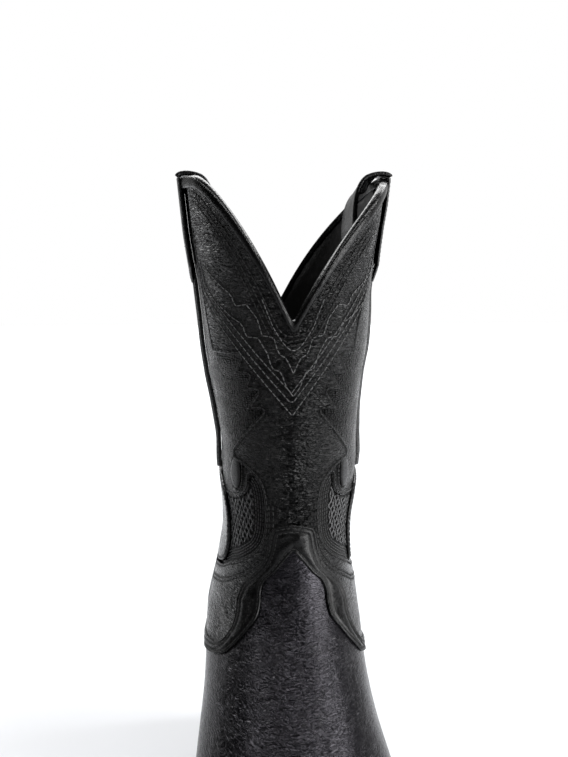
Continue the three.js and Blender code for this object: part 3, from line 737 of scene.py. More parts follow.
def plain_grain(name, tone, tint, rough, scale, depth, metal=0.0, contrast=0.35):
    """Cork, felt, steel, rubber or bare leather: a tone, a speckle and a fine relief."""
    g = Graph(name)
    where = g.objects()
    speck = g.add("TexVoronoi", {"Vector": where, "Scale": scale}, feature="F1").outputs[0]
    cloud = g.noise(where, scale * 0.3, 4.0, 0.6).outputs[0]
    fac = g.math("ADD", g.math("MULTIPLY", speck, 0.5), g.math("MULTIPLY", cloud, 0.6))
    shade = g.mix(fac, rgb(tone * (1 - contrast), tint), rgb(tone * (1 + contrast), tint))
    g.shade(Base_Color=shade, Normal=g.bump(fac, depth * MM),
            Roughness=g.ramp(cloud, max(rough - 0.1, 0.05), min(rough + 0.1, 1.0), 0.3, 0.7))
    g.shader.inputs["Metallic"].default_value = metal
    return g.material


TUMBLED = leather("tumbled_leather", 0.0018, 0.16, (3.4, 1.5), 1.0, wrinkled=True, specular=0.165)
VAMP = leather("vamp_leather", 0.0020, 0.17, (6.5, 1.1), 0.17, wrinkled=True, tint=(1.05, 0.97, 1.25),
               drawn=(0.09, 0.70), shine=(0.93, 0.89, 1.0, 1.0))
SMOOTH = leather("smooth_leather", 0.0026, 0.16, (0.9, 0.7), 0.05, specular=0.20, fine=0.04)
STRAP = leather("strap_leather", 0.0022, 0.28, (1.1, 0.9), 0.08, fine=0.06)
LINING_LEATHER = leather("lining_leather", 0.004, 0.36, (0.9, 0.8), 0.06, tint=(1.0, 0.97, 0.94))
WING = inlay_leather("inlay_leather", 0.0026, 0.26, 1.5, 1.7)
HOLES = leather("lattice_backing", 0.0016, 0.5, (1.1, 0.9), 0.06, specular=0.1)
STRAND = leather("lattice_strand", 0.018, 0.24, (0.8, 0.8), 0.04, specular=0.45)
# the boot's black thread painted light grey: a painted highlight standing in for the glints on its stitches
PAINTED_HIGHLIGHT_THREAD = thread_material("thread_painted_highlight_grey", 0.10, 0.4, 0.1)
BLACK_THREAD = thread_material("black_thread", 0.004, 0.5, 0.0)
DULL_THREAD = thread_material("dull_thread", 0.022, 0.45, 0.1)
WELT_THREAD = thread_material("welt_thread", 0.055)
SOLE = stacked("sole_edge", 0.020, 0.38)
RUBBER = plain_grain("rubber", 0.014, (1, 1, 1), 0.6, 0.9, 0.15)
CORK = plain_grain("cork", 0.34, (1, 0.70, 0.42), 0.85, 0.45, 0.4)
STEEL = plain_grain("steel", 0.55, (1, 1.0, 1.02), 0.32, 1.2, 0.02, metal=1.0, contrast=0.1)
BARE = plain_grain("bare_leather", 0.36, (1, 0.72, 0.47), 0.75, 0.8, 0.08)
FELT = plain_grain("footbed_felt", 0.055, (1, 0.97, 0.93), 0.88, 1.5, 0.2)

# ---------------------------------------------------------------- the pattern
def ear_curve(reach, power):
    """The level of the top line at a turn: lowest at the dip, highest from the turn reach on."""
    return lambda u: SCALLOP_LOW + EAR_RISE * (1 - np.clip(1 - np.abs(u) / reach, 0, 1) ** power)


lateral_top = ear_curve(90, 2.1)
medial_top = ear_curve(60, 1.65)


def top_line(low, high):
    u = np.arange(low, high + 0.01, 1.5)
    if u[-1] < high:
        u = np.append(u, high)
    front = np.abs(u) <= 90
    v = np.where(front, np.where(u < 0, medial_top(u), lateral_top(u)), lateral_top(180 - u))
    # the dip is a small round, not a point
    near = np.minimum(np.abs(u), np.abs(u - 180))
    v = v + 0.8 * np.exp(-(near / 2.5) ** 2)
    return np.column_stack([u, v])


VAMP_LINE = rounded([
    (0, 162), (9, 158), (15, 153), (20, 147), (23, 140), (27, 134), (33, 127.5),
    (39, 119.5), (43, 112), (48.5, 105), (57.5, 96.5), (72, 89.5), (SEAM, 83)])
COLLAR_OUTER = rounded([
    (0, 168.5), (11, 167), (16, 164.5), (18.7, 155), (22.5, 148), (29.7, 142), (38, 136),
    (44.5, 126), (45.5, 117.5), (50, 108), (59, 98.5), (72, 92.5), (SEAM, 87)])
COLLAR_INNER = rounded([
    (0, 155), (7, 149), (14, 143), (21, 138.5), (24, 133), (24.5, 127), (27.3, 119.7),
    (34, 113), (40.5, 107), (47.5, 101), (56, 94), (72, 86), (SEAM, 79)])
STEPS = np.array([
    (31.5, 256), (37, 246), (26.5, 246), (32.5, 237.5), (21.5, 238), (30.5, 227.5),
    (18, 228), (45.5, 204.5), (46, 200)], float)
NECK = rounded([
    (46, 200), (35, 197), (25.5, 191), (21.8, 185), (20.8, 175), (22, 164), (25.5, 157), (31, 152.5),
    (37, 149.5), (47.5, 145), (57, 142), (72, 136), (SEAM, 132)])[1:]
LATERAL_FLANK = rounded([(60, 325), (53, 300), (46.5, 280), (43.5, 268), (42, 256)])
MEDIAL_FLANK = rounded([(66, 325), (64, 300), (61, 280), (59, 268), (56, 256)])
COUNTER_LINE = rounded([(90.4, 83), (105, 83), (122, 87), (140, 94), (160, 105), (180, 114)])
ANKLE_WING = rounded([
    (134, 200), (118, 192), (100, 187), (84, 183), (70, 178), (63.5, 170), (62, 158), (64, 146),
    (72, 138), (90.4, 133)])[1:]
WING_EDGE = rounded([(28, 272), (20, 262), (14, 245), (12, 226), (16, 205), (24, 192)])
WING_TAB = rounded([(33, 192), (34, 186), (38, 181.5), (47, 178), (60, 176), (75, 175), (SEAM, 176)])
LATTICE = np.array([
    (14, 191.6), (32.6, 191.6), (33.6, 185.6), (37.6, 181.1), (47, 177.6), (60, 175.6),
    (74, 174.6), (74, 132), (47, 136), (30, 144), (18, 152), (14, 158)], float)

FRONT = Last(225)
BACK = Last(225, 180)
VAMP_CHART = Last(40)
COUNTER_CHART = Last(40, 180)
SIDE = {-1: Last(225, -90), 1: Last(225, 90)}
SIDES = (("medial", -1), ("lateral", 1))


def sided(path, side):
    return np.array(path, float) if side > 0 else mirrored(path)


# ---------------------------------------------------------------- relief of the leather
def crease_noise(q, size, stretch, seed):
    """Rounded creases between flat plates; q is a chart in mm."""
    out = np.empty(len(q))
    for i, (x, y) in enumerate(q):
        bend = noise.noise(Vector((x / 22, y / 22, seed))) * 6
        d = noise.voronoi(Vector(((x + bend) / (size * stretch), (y + bend) / size, seed)))[0]
        out[i] = min((d[1] - d[0]) * 2.2, 1.0)
    return out


def swell(q, size, seed):
    return np.array([noise.noise(Vector((x / size, y / size, seed))) for x, y in q])


def ridge(p):
    """The shaft is creased down the front: a low ridge above the tongue."""
    u = np.minimum(np.abs(p[..., 0]), np.abs(p[..., 0] - 180))
    return 1.7 * np.exp(-u / 15) * smooth((p[..., 1] - 172) / 25) * smooth((268 - p[..., 1]) / 12)


def on_ridge(p, w=0.0):
    return on_last(p, w + ridge(np.asarray(p, float)))


def shaft_relief(p, q, base):
    """Pebbles, worn most beside the front crease, a sunken line there and folds above the tongue."""
    u = np.minimum(np.abs(p[:, 0]), np.abs(p[:, 0] - 180))
    v = p[:, 1]
    centre = np.exp(-(u / 26) ** 2)
    lobe = smooth((v - 150) / 20)
    strength = (0.25 + 0.75 * centre) * (0.35 + 0.65 * lobe)
    plates = crease_noise(q, 4.4, 2.8, 3.1)
    height = ridge(p) + 0.36 * (plates - 1) * strength + 0.5 * swell(q, 30, 5.0)
    height -= 0.45 * np.exp(-((p[:, 0] + 1.5) / 1.5) ** 2) * smooth((v - 168) / 8) * smooth((240 - v) / 30)
    fold = np.exp(-(((v - 171) - 0.28 * p[:, 0]) / 9) ** 2) * np.exp(-((p[:, 0] - 2) / 15) ** 2)
    height += 0.75 * fold * np.sin((v - 0.42 * p[:, 0]) * 1.15) * (np.abs(p[:, 0]) < 90)
    return height, np.clip(strength * 1.1, 0, 1)


def vamp_relief(p, q, base):
    """Creases drawn across the boot, strongest where the foot bends."""
    centre = np.exp(-(p[:, 0] / 34) ** 2)
    flex = np.exp(-((base[:, 1] + 15) / 45) ** 2)
    strength = 0.25 + 0.75 * centre * (0.5 + 0.5 * flex)
    plates = crease_noise(np.column_stack([base[:, 0], base[:, 1] * 0.8 + base[:, 2]]), 3.0, 4.6, 7.7)
    height = 0.20 * (plates - 1) * strength + 0.5 * swell(q, 34, 9.0) * centre
    wave = np.sin((base[:, 1] * 0.8 - base[:, 2]) / 2.6 + 3 * swell(q, 24, 12.0))
    height += 0.11 * flex * centre * wave
    return height, np.clip(strength, 0, 1)


def counter_relief(p, q, base):
    height = 0.12 * (crease_noise(q, 3.6, 2.0, 17.0) - 1) + 0.25 * swell(q, 28, 19.0)
    return height, np.full(len(p), 0.5)


def collar_relief(p, q, base):
    """A padded band, with drawn folds at the front."""
    u, v = p[:, 0], p[:, 1]
    front = np.exp(-(u / 9) ** 2)
    pinch = np.exp(-((v - 157 - 0.02 * u * u) / 5) ** 2)
    height = 0.4 * swell(q, 30, 23.0) - 0.5 * front * pinch * np.exp(-(u / 2.2) ** 2)
    height += 0.22 * front * np.sin((v - 0.5 * u) * 0.8)
    return height, np.full(len(p), 0.3)


# ---------------------------------------------------------------- stitch rows
def clipped(path, low, high):
    path = np.asarray(path)
    return path[(path[:, 0] > low) & (path[:, 0] < high)]


def scallop(low, high, depth):
    """A row that follows the top line at a depth below it."""
    return beside(top_line(low, high), -depth)


def long_enough(*parts):
    return [[r for r in part if len(r) > 2] for part in parts]


ROW_TOP = 322  # the edge rows end under the binding
FRONT_HALF = [*LATERAL_FLANK, *STEPS, *NECK]
MEDIAL_HALF = [*MEDIAL_FLANK, *STEPS, *NECK]
V_ROW = np.array([(57, 303), (50, 288), (35.6, 268.9), (-0.6, 226), (-42.7, 268.8), (-62.6, 288.4),
                  (-66, 303)])
V_BACK = np.array([(123, 303), (130, 288), (144, 269), (180, 226), (216, 269), (230, 288), (237, 303)])
FLAME = [(56, 302), (44.7, 293.7), (35.1, 287.5), (33, 281.5), (26.1, 283), (20, 275.9), (17.4, 267),
         (11, 266.5), (8.2, 258), (3.9, 256), (0, 248)]
FLAME_LOW = [(46, 283), (36, 276), (29, 272.5), (27, 266), (20, 266), (14.5, 258), (12, 250), (7, 249),
             (4, 241), (0, 236)]
HEART = [(17, 286), (11, 271), (5, 262.5), (0, 259)]


def front_rows():
    """The black rows along the edges, and the rows of the pattern, sewn in thread painted grey as a highlight.
    """
    rows = [clipped(scallop(-76, 72, d), -63, 58) for d in (7.0, 9.6, 12.2)]
    pattern = [V_ROW, beside(V_ROW, -3.4), beside(V_ROW, -6.8)]
    pattern += [both_sides(row[::-1]) for row in (FLAME, FLAME_LOW, HEART)]
    for side, half in ((1, FRONT_HALF), (-1, MEDIAL_HALF)):
        edge = [p for p in half if p[1] < ROW_TOP]
        rows.append(beside(sided(edge, side), -1.5))
        low = sided(rounded([(SEAM, 124), (66, 130), (50, 137), (38, 142), (30, 146.5), (24, 151), (19, 159),
                             (17.3, 168), (17.2, 178)])[::-1], side)
        rows += [low, beside(low, -2.0)]
    return long_enough(rows, pattern)


def back_rows():
    """The same for the back."""
    rows = [clipped(scallop(108, 252, d), 122, 238) for d in (7.0, 9.6, 12.2)]
    pattern = [V_BACK, beside(V_BACK, 3.4), beside(V_BACK, 6.8)]
    pattern += [on_back(both_sides(row[::-1]))[::-1] for row in (FLAME, FLAME_LOW)]
    half = np.vstack([on_back([*LATERAL_FLANK, *STEPS]), ANKLE_WING])
    for edge in (half, (half * (-1, 1) + (360, 0))[::-1]):
        rows.append(beside(edge[edge[:, 1] < ROW_TOP], 1.5))
    return long_enough(rows, pattern)


# ---------------------------------------------------------------- uppers
BACK_FOOT = [(FAR_BACK_SEAM, FEATHER), (BACK_SEAM, FEATHER)]


def closed_band(upper, lower):
    return np.vstack([upper, np.asarray(lower)[::-1]])


def make_shaft():
    vamp_edge = raised(VAMP_LINE, SEAM_GAP)[::-1]
    right = np.vstack([LATERAL_FLANK, STEPS, NECK, vamp_edge])
    left = mirrored(np.vstack([MEDIAL_FLANK, STEPS, NECK, vamp_edge]))
    outline = np.vstack([top_line(-67, 61), right, left[1:]])
    black, painted_highlight_rows = front_rows()
    finished(sheet("front_shaft_leather", FRONT, outline, OUTER, rows=black + painted_highlight_rows, relief=shaft_relief,
                   edge=0.8), TUMBLED, "tumbled_leather", "front_shaft_panel")
    half = np.vstack([on_back(np.vstack([LATERAL_FLANK, STEPS])), ANKLE_WING, raised(COUNTER_LINE, SEAM_GAP)])
    other = (half * (-1, 1) + (360, 0))[:-1]
    back_outline = np.vstack([top_line(120, 240), other, half[::-1]])
    back_black, back_painted_highlight_rows = back_rows()
    finished(sheet("back_shaft_leather", BACK, back_outline, OUTER, rows=back_black + back_painted_highlight_rows,
                   relief=shaft_relief, cell=BACK_CELL), TUMBLED, "tumbled_leather", "back_shaft_panel")
    sunk, proud = OUTER[1] - 0.16, OUTER[1] - 0.1
    finished(stitches("shaft_edge_stitching", [(r, sunk, on_ridge) for r in black + back_black]),
             BLACK_THREAD, "tumbled_leather")
    # the pattern stitches' black thread is painted grey: a painted highlight
    finished(stitches("shaft_pattern_stitching", [(r, proud, on_ridge) for r in painted_highlight_rows + back_painted_highlight_rows], 0.27),
             PAINTED_HIGHLIGHT_THREAD, "tumbled_leather")


def make_vamp():
    outline = np.vstack([both_sides(raised(VAMP_LINE, -SEAM_GAP)), [(SEAM, FEATHER), (-SEAM, FEATHER)]])
    finished(sheet("vamp_leather", VAMP_CHART, outline, OUTER, relief=vamp_relief),
             VAMP, "tumbled_leather", "vamp")
    collar = closed_band(both_sides(COLLAR_OUTER), both_sides(COLLAR_INNER))
    rows = [beside(both_sides(COLLAR_OUTER), -d) for d in (1.5, 3.6)]
    rows.append(beside(both_sides(COLLAR_INNER), 1.5))
    finished(sheet("vamp_collar_leather", FRONT, collar, TRIM, rows=rows, relief=collar_relief, groove=1.0),
             SMOOTH, "smooth_leather", "vamp_collar")
    counter = np.vstack([back_sides(raised(COUNTER_LINE, -SEAM_GAP)), BACK_FOOT])
    finished(sheet("counter_leather", COUNTER_CHART, counter, OUTER, relief=counter_relief,
                   cell=BACK_CELL), TUMBLED, "tumbled_leather", "heel_counter")
    upper = back_sides(raised(COUNTER_LINE, 3.5))
    lower = back_sides(raised(COUNTER_LINE, -5))
    band_rows = [beside(upper, -1.4), beside(upper, -3.2), beside(lower, 1.4)]
    finished(sheet("counter_collar_leather", BACK, closed_band(upper, lower), TRIM, rows=band_rows,
                   groove=0.5), SMOOTH, "smooth_leather", "counter_collar")
    runs = [(r, TRIM[1] - 0.85, on_last) for r in rows + band_rows]
    finished(stitches("collar_stitching", runs, 0.3, 2.4), BLACK_THREAD, "smooth_leather")


TEARDROP = rounded([(41, 200.5), (46.5, 199.8), (50.5, 195), (52.5, 189), (50.5, 184.5), (46, 183.2),
                    (43, 186), (41.5, 192), (41, 200.5)], 5)[:-1]


def make_inlays():
    """The dotted leather that shows through the stepped cut-outs, and the lattices below it."""
    runs = []
    on_inlay = INLAY[1] + 0.05
    for label, side in SIDES:
        for place, back in (("front", False), ("back", True)):
            height = lateral_top if back or side > 0 else medial_top
            top = [(u, height(u) - 0.4) for u in (SEAM, 75, 60, 45)]
            outline = np.vstack([[(36, 300)], WING_EDGE, WING_TAB, top])
            path = sided(outline, side)
            path = on_back(path) if back else path
            name = f"wing_inlay_{place}_{label}"
            domain = SIDE[side] if not (back and side < 0) else Last(225, 270)
            finished(sheet(f"{name}_leather", domain, path, INLAY, cell=CELL * 1.9, edge=0.5),
                     WING, "inlay_leather", name)
            if not back:
                tab = sided(beside(np.vstack([[(24, 192)], WING_TAB]), 1.9), side)
                finished(sheet(f"tab_teardrop_{label}", SIDE[side], sided(TEARDROP, side), (2.2, 3.4),
                               cell=1.2, edge=1.6), SMOOTH, "smooth_leather")
                runs += [(tab, on_inlay, on_last),
                         (sided(beside(closing(TEARDROP), 1.3), side), on_inlay, on_last)]
        make_lattice(label, side, runs)
    finished(stitches("inlay_stitching", runs, 0.3, 2.2), DULL_THREAD, "inlay_leather")


STRAND_HALF = 0.55
LATTICE_PITCH = (3.5, 5.4)  # across and up, between crossings
LATTICE_EDGE = 7.0  # the stitched margin beside the neck edge
BACKING_TOP = 1.75
STRAND_SIDES = 6


def make_lattice(label, side, runs):
    """Two families of diagonal strands, woven over and under, on a dark backing."""
    name = f"lattice_inlay_{label}"
    outline = sided(LATTICE, side)
    finished(sheet(f"{name}_backing", SIDE[side], outline, (INLAY[0], BACKING_TOP), cell=CELL * 2.2,
                   edge=0.4), HOLES, "inlay_leather", name)
    chart = SIDE[side]
    border = resampled(closing(LATTICE), 1.0, on_last, True)
    neck = chart.place(sided(resampled(NECK, 0.4), side))
    spread = chart.chart(sided(border, side))
    low, high = spread.min(0), spread.max(0)
    across, up = LATTICE_PITCH
    points, faces, grain = [], [], []
    angle = np.linspace(0, 2 * math.pi, STRAND_SIDES, endpoint=False)
    ring = np.column_stack([np.cos(angle) * STRAND_HALF, np.sin(angle) * 0.26])
    total = 0
    for slope in (-1, 1):
        shift = -(high[1] - low[1]) / up * across
        for k in range(int((high[0] - low[0] - 2 * shift) / across) + 1):
            start = low[0] + shift + k * across
            t = np.arange(0, (high[1] - low[1]), up / 6)
            x = start + (t / up * across if slope > 0 else (high[1] - low[1] - t) / up * across)
            line = np.column_stack([x, low[1] + t])
            p = chart.unchart(line)
            keep = inside(outline, p)
            if not keep.any():
                continue
            far = nearest(chart.place(p), neck)
            keep &= far > LATTICE_EDGE
            weave = slope * np.cos(math.pi * (t / up * 2 + k))
            w = 2.02 + 0.2 * weave
            ids = np.flatnonzero(keep)
            for part in np.split(ids, np.flatnonzero(np.diff(ids) > 1) + 1):
                if len(part) < 3:
                    continue
                centre = chart.place(p[part], w[part])
                out = chart.place(p[part], w[part] + 1.0) - centre
                along = np.gradient(centre, axis=0)
                wide = np.cross(out, along)
                wide /= np.linalg.norm(wide, axis=1, keepdims=True)
                block = centre[:, None] + ring[None, :, :1] * wide[:, None] + ring[None, :, 1:] * out[:, None]
                points.append(block.reshape(-1, 3))
                grain.append(np.repeat(line[part], STRAND_SIDES, axis=0))
                strand = band_faces(len(part), STRAND_SIDES) + end_faces(len(part), STRAND_SIDES)
                faces += [tuple(total + i for i in face) for face in strand]
                total += len(part) * STRAND_SIDES
    obj = mesh_object(f"lattice_strands_{label}", np.vstack(points), faces, np.vstack(grain))
    finished(obj, STRAND, "inlay_leather")
    for d in (1.7, 3.1, 4.5, 5.9):
        row = sided(resampled(beside(NECK, d), 1.0), side)
        row = row[inside(outline, row)]
        if len(row) > 3:
            runs.append((row, 1.85, on_last))


def make_linings():
    parts = (
        ("shaft_lining_front", FRONT, np.vstack([top_line(-SEAM, SEAM), [(SEAM, 120), (-SEAM, 120)]])),
        ("shaft_lining_back", BACK, np.vstack([top_line(BACK_SEAM, FAR_BACK_SEAM), BACK_FOOT])),
        ("vamp_lining", VAMP_CHART, np.array([(-SEAM, FEATHER), (SEAM, FEATHER), (SEAM, LINING_JOIN),
                                              (-SEAM, LINING_JOIN)])),
    )
    for name, chart, outline in parts:
        finished(sheet(f"{name}_leather", chart, outline, LINING, cell=3.4, edge=0.4),
                 LINING_LEATHER, "lining", name)


BINDING_DROP = 4.6


def make_bindings():
    """A folded strip over the top edge: up the outside, round the top, down the inside."""
    section = []
    for t in np.linspace(0, 1, 7):
        section.append((4.42 + 0.42 * math.sin(math.pi * t) ** 0.5, -BINDING_DROP + (BINDING_DROP + 0.2) * t))
    for t in np.linspace(0, math.pi, 11)[1:-1]:
        section.append((2.0 + 2.45 * math.cos(t), 0.2 + 1.5 * math.sin(t)))
    for t in np.linspace(0, 1, 5):
        section.append((-0.45, 0.2 - BINDING_DROP * t))
    section += [(-0.02, -BINDING_DROP + 0.2), (-0.02, -0.2), (4.26, -0.2), (4.26, -BINDING_DROP)]
    section = np.array(section)
    for name, low, high in (("top_binding_front", -SEAM, SEAM),
                            ("top_binding_back", BACK_SEAM, FAR_BACK_SEAM)):
        line = resampled(top_line(low, high), 2.0)
        count = len(section)
        points, grain = [], []
        for w, v in section:
            row = line + (0, v)
            points.append(on_last(row, w))
            grain.append(np.column_stack([FRONT.chart(line)[:, 0] if low < 0 else BACK.chart(line)[:, 0],
                                          np.full(len(line), v)]))
        points = np.stack(points, 1).reshape(-1, 3)
        grain = np.stack(grain, 1).reshape(-1, 2)
        faces = [face[:1] + face[:0:-1] for face in band_faces(len(line), count)]
        faces += [face[::-1] for face in end_faces(len(line), count)]
        obj = mesh_object(f"{name}_leather", points, faces, grain)
        finished(obj, SMOOTH, "smooth_leather", name)


def piped(p):
    """The cord under the side seam lifts the strip over it."""
    return 1.1 * np.sqrt(np.clip(1 - ((np.abs(p[:, 0]) - 90) / 1.3) ** 2, 0, 1))


def make_pipings():
    for label, side in SIDES:
        outline = np.array([(87.5, 186), (92.5, 186), (92.5, 344), (87.5, 344)], float)
        rows = [sided([(u, 188), (u, 342)], side) for u in (88.1, 91.9)]
        finished(sheet(f"side_piping_{label}_leather", SIDE[side], sided(outline, side), (2.5, 4.3), cell=0.9,
                       edge=0.8, w_of=piped), SMOOTH, "smooth_leather", f"side_piping_{label}")
        # the seam's black thread is painted grey: a painted highlight
        finished(stitches(f"side_seam_stitching_{label}", [(r, 4.25, on_last) for r in rows], 0.3),
                 PAINTED_HIGHLIGHT_THREAD, "smooth_leather")


# ---------------------------------------------------------------- pull straps
LOOP_PATH = np.array([
    (0, 0.3), (-0.5, 1.2), (-2.3, 2.0), (-5.5, 2.3), (-10, 1.8), (-14.5, -0.4), (-17.8, -6), (-19.5, -14),
    (-20, -27), (-19.5, -38), (-17, -46)], float)
REAR_DRAW = 1.12  # the rear edge stands further off the wall, and its crown sags
REAR_SAG = 9
STRAP_FRONT = 58 + FRAME_SHIFT
STRAP_REAR = 92 + FRAME_SHIFT
STRAP_HALF = 1.15
# The share of the strap's width and of its half thickness, thicker where its edges are folded.
STRAP_SECTION = [(0.0, -0.55), (0.015, -1.0), (0.05, -1.12), (0.10, -0.8), (0.3, -0.8), (0.5, -0.8),
                 (0.7, -0.8), (0.90, -0.8), (0.95, -1.12), (0.985, -1.0), (1.0, -0.55)]
STRAP_OUTER_LAYER = (4.7, 6.0)
LOOP_END = -37.9  # below this height the loop turns in towards its sewn end


def strap_rings(line, side, hinge):
    """Rings of a folded strap along a line of (across, up) from the hinge."""
    across = STRAP_SECTION + [(t, -h) for t, h in STRAP_SECTION[::-1]]
    sag = REAR_SAG * smooth((-line[:, 0] - 5) / 5) * smooth((line[:, 1] + 34) / 20)
    columns = []
    for t, h in across:
        path = line * (1 + (REAR_DRAW - 1) * t, 1) - np.column_stack([np.zeros(len(line)), sag * t])
        along = np.gradient(path, axis=0)
        along /= np.linalg.norm(along, axis=1, keepdims=True)
        x = path[:, 0] + along[:, 1] * h * STRAP_HALF
        z = path[:, 1] - along[:, 0] * h * STRAP_HALF
        y = np.full(len(line), STRAP_FRONT + (STRAP_REAR - STRAP_FRONT) * t)
        columns.append(np.column_stack([hinge[0] + side * x, y, hinge[2] + z]))
    return np.stack(columns, 1)


def make_straps():
    runs = []
    for label, side in SIDES:
        outline = sided([(76, 350), (76, 301), (90, 291), (104, 301), (104, 350)], side)
        rows = [sided(r, side) for r in (
            [(77.6, 349), (77.6, 302), (90, 293.2), (102.4, 302), (102.4, 349)], [(78, 312), (102, 312)])]
        finished(sheet(f"pull_strap_outer_{label}", SIDE[side], outline, STRAP_OUTER_LAYER, cell=2.0,
                       edge=0.8, rows=rows, groove=0.3), STRAP, "strap_leather", f"pull_strap_outer_end_{label}")
        runs += [(r, STRAP_OUTER_LAYER[1] - 0.1, on_last) for r in rows]
        hinge = on_last(np.array([90.0 * side, 350.0]), 5.2)
        dense = rounded(LOOP_PATH, 6)
        tab = [on_last(np.array([90.0 * side, v]), -0.9) for v in (301, 296, 290, 285)]
        tab = np.array([(side * (t[0] - hinge[0]), t[2] - hinge[2]) for t in tab])
        leg = rounded(np.vstack([LOOP_PATH[-3:-1], [(-13.5, -46)], tab]), 6)
        keep = np.flatnonzero(dense[:, 1] > LOOP_END)
        line = np.vstack([dense[:keep[-1]], leg[6:]])
        rings = strap_rings(line, side, hinge)
        count = rings.shape[1]
        grain = np.column_stack([rings[:, :, 1].ravel(), np.repeat(travelled(line), count)])
        faces = [f[::side] for f in band_faces(len(rings), count) + end_faces(len(rings), count)]
        obj = mesh_object(f"pull_strap_loop_{label}_leather", rings.reshape(-1, 3), faces, grain)
        finished(obj, STRAP, "strap_leather", f"pull_strap_loop_{label}", f"pull_strap_inner_end_{label}",
                 body=None)
        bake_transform(obj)
    # the strap's black thread is painted grey: a painted highlight
    finished(stitches("strap_stitching", runs, 0.3, 2.6), PAINTED_HIGHLIGHT_THREAD, "strap_leather")


# ---------------------------------------------------------------- sole unit
OUTSOLE_REACH = curve_through([(-140, 9.5), (-60, 9.5), (-5, 4.5), (25, 3), (75, 4), (145, 5.5)])
HEEL_BREAST = 72
OUTSOLE_TOP = -7.3  # heights from the feather line
WELT_BOTTOM, WELT_TOP = -7.25, -4.2
WELT_INNER = -6.0  # and its inner edge, from the last
CAP_TOP = 6.2
LIFT_PITCH = 7.8
LIFTS = 4
HEEL_TAPER = 3.0
TURNS = np.concatenate([np.arange(-180, -12, 2.5), np.arange(-12, -4, 1), np.arange(-4, 4.01, 0.5),
                        np.arange(5, 12, 1), np.arange(12.5, 180, 2.5)])


def edge_line(out, step=2.0, start=None):
    """The feather line moved outwards by out(y), in plan; from a breast line backwards if given."""
    p = np.column_stack([TURNS, np.zeros(len(TURNS))])
    base = on_last(p)
    xy = on_last(p, out(base[:, 1] - FRAME_SHIFT))[:, :2]
    if start is not None:
        begin = start + FRAME_SHIFT
        half = len(xy) // 2
        left, right = xy[:half][::-1], xy[half:]
        corner = []
        for part in (left, right):
            k = np.argmax(part[:, 1] > begin)
            t = (begin - part[k - 1, 1]) / (part[k, 1] - part[k - 1, 1])
            corner.append((part[k - 1] + (part[k] - part[k - 1]) * t, part[k:]))
        (a, left), (b, right) = corner
        breast = [a + (b - a) * s + (0, 3.0 * math.sin(math.pi * s)) for s in np.linspace(0, 1, 12)]
        xy = np.vstack([left[::-1], breast, right])
    closed = closing(xy)
    length = travelled(closed)
    return at_distance(np.linspace(0, length[-1], max(12, int(length[-1] / step)) + 1)[:-1], length, closed)


def slab(name, rings, count=300):
    """A solid over rings of (outline, height above y); its two ends are netted."""
    loops = []
    for outline, height in rings:
        closed = closing(outline)
        length = travelled(closed)
        xy = at_distance(np.linspace(0, length[-1], count + 1)[:-1], length, closed)
        loops.append(np.column_stack([xy, height(xy[:, 1] - FRAME_SHIFT)]))
    points = [np.vstack(loops)]
    total = count * len(loops)
    faces = band_faces(len(loops), count)
    for end, (loop, (_, height)) in enumerate(((loops[0], rings[0]), (loops[-1], rings[-1]))):
        xy = loop[:, :2]
        low, high = xy.min(0), xy.max(0)
        net = Plane(height).grid(low, high, COARSE)
        net = net[inside(xy, net)]
        edge3 = np.column_stack([xy, np.zeros(count)])
        net = net[nearest(np.column_stack([net, np.zeros(len(net))]), edge3) > 2.0]
        flat, tris, first = triangulated(np.vstack([xy, net]), count)
        offset = 0 if end == 0 else (len(loops) - 1) * count
        index = {}
        for i, k in enumerate(first):
            if 0 <= k < count:
                index[i] = offset + k
            else:
                index[i] = total
                total += 1
                points.append(np.array([[flat[i, 0], flat[i, 1], float(height(flat[i, 1] - FRAME_SHIFT))]]))
        for f in tris:
            face = tuple(index[i] for i in f)
            faces.append(face[::-1] if end == 0 else face)
    return mesh_object(name, np.vstack(points), faces)


def sole_rings(out, low, high, bevel, start=None, slant=0.0):
    """Rings from the lower face to the upper one, with rounded arrises."""
    rings = []
    arris = ((1.8, 0.0), (1.0, 0.0), (0.3, 0.3), (0.0, 1.0))  # shares of the bevel, inwards and up
    for inset, rise in arris:
        rings.append((edge_line(lambda y: out(y) - slant - inset * bevel, start=start),
                      lambda y, r=rise: low(y) + r * bevel))
    for inset, rise in arris[::-1]:
        rings.append((edge_line(lambda y: out(y) - inset * bevel, start=start),
                      lambda y, r=rise: high(y) - r * bevel))
    return rings


def above(offset):
    return lambda y: feather_height(y) + offset


def level(value):
    return lambda y: np.full(np.shape(y), float(value))


def strip_of_edge(name, outer, inner, low, high, start, end, bevel=0.5):
    """A strip following the edge of the foot between two turns, with a rounded outer edge."""
    turns = np.linspace(start, end, 260)
    if start < 0:
        turns = np.sign(turns) * np.abs(turns / end) ** 1.5 * end
    p = np.column_stack([turns, np.zeros(len(turns))])
    base = on_last(p)
    y = base[:, 1] - FRAME_SHIFT
    points = []
    for inset, height, shift in ((inner, low, 0), (outer, low, 0), (outer, low, bevel), (outer, high, -bevel),
                                 (outer, high, 0), (inner, high, 0)):
        reach = inset(y) - (bevel * 0.7 if shift == 0 and inset is outer else 0)
        xy = on_last(p, reach)
        points.append(np.column_stack([xy[:, 0], xy[:, 1], height(xy[:, 1] - FRAME_SHIFT) + shift]))
    count = len(points)
    grid = np.stack(points, 1).reshape(-1, 3)
    return mesh_object(name, grid, band_faces(len(turns), count) + end_faces(len(turns), count))


def narrower(by):
    """The outsole's reach less an amount."""
    return lambda y: OUTSOLE_REACH(y) - by


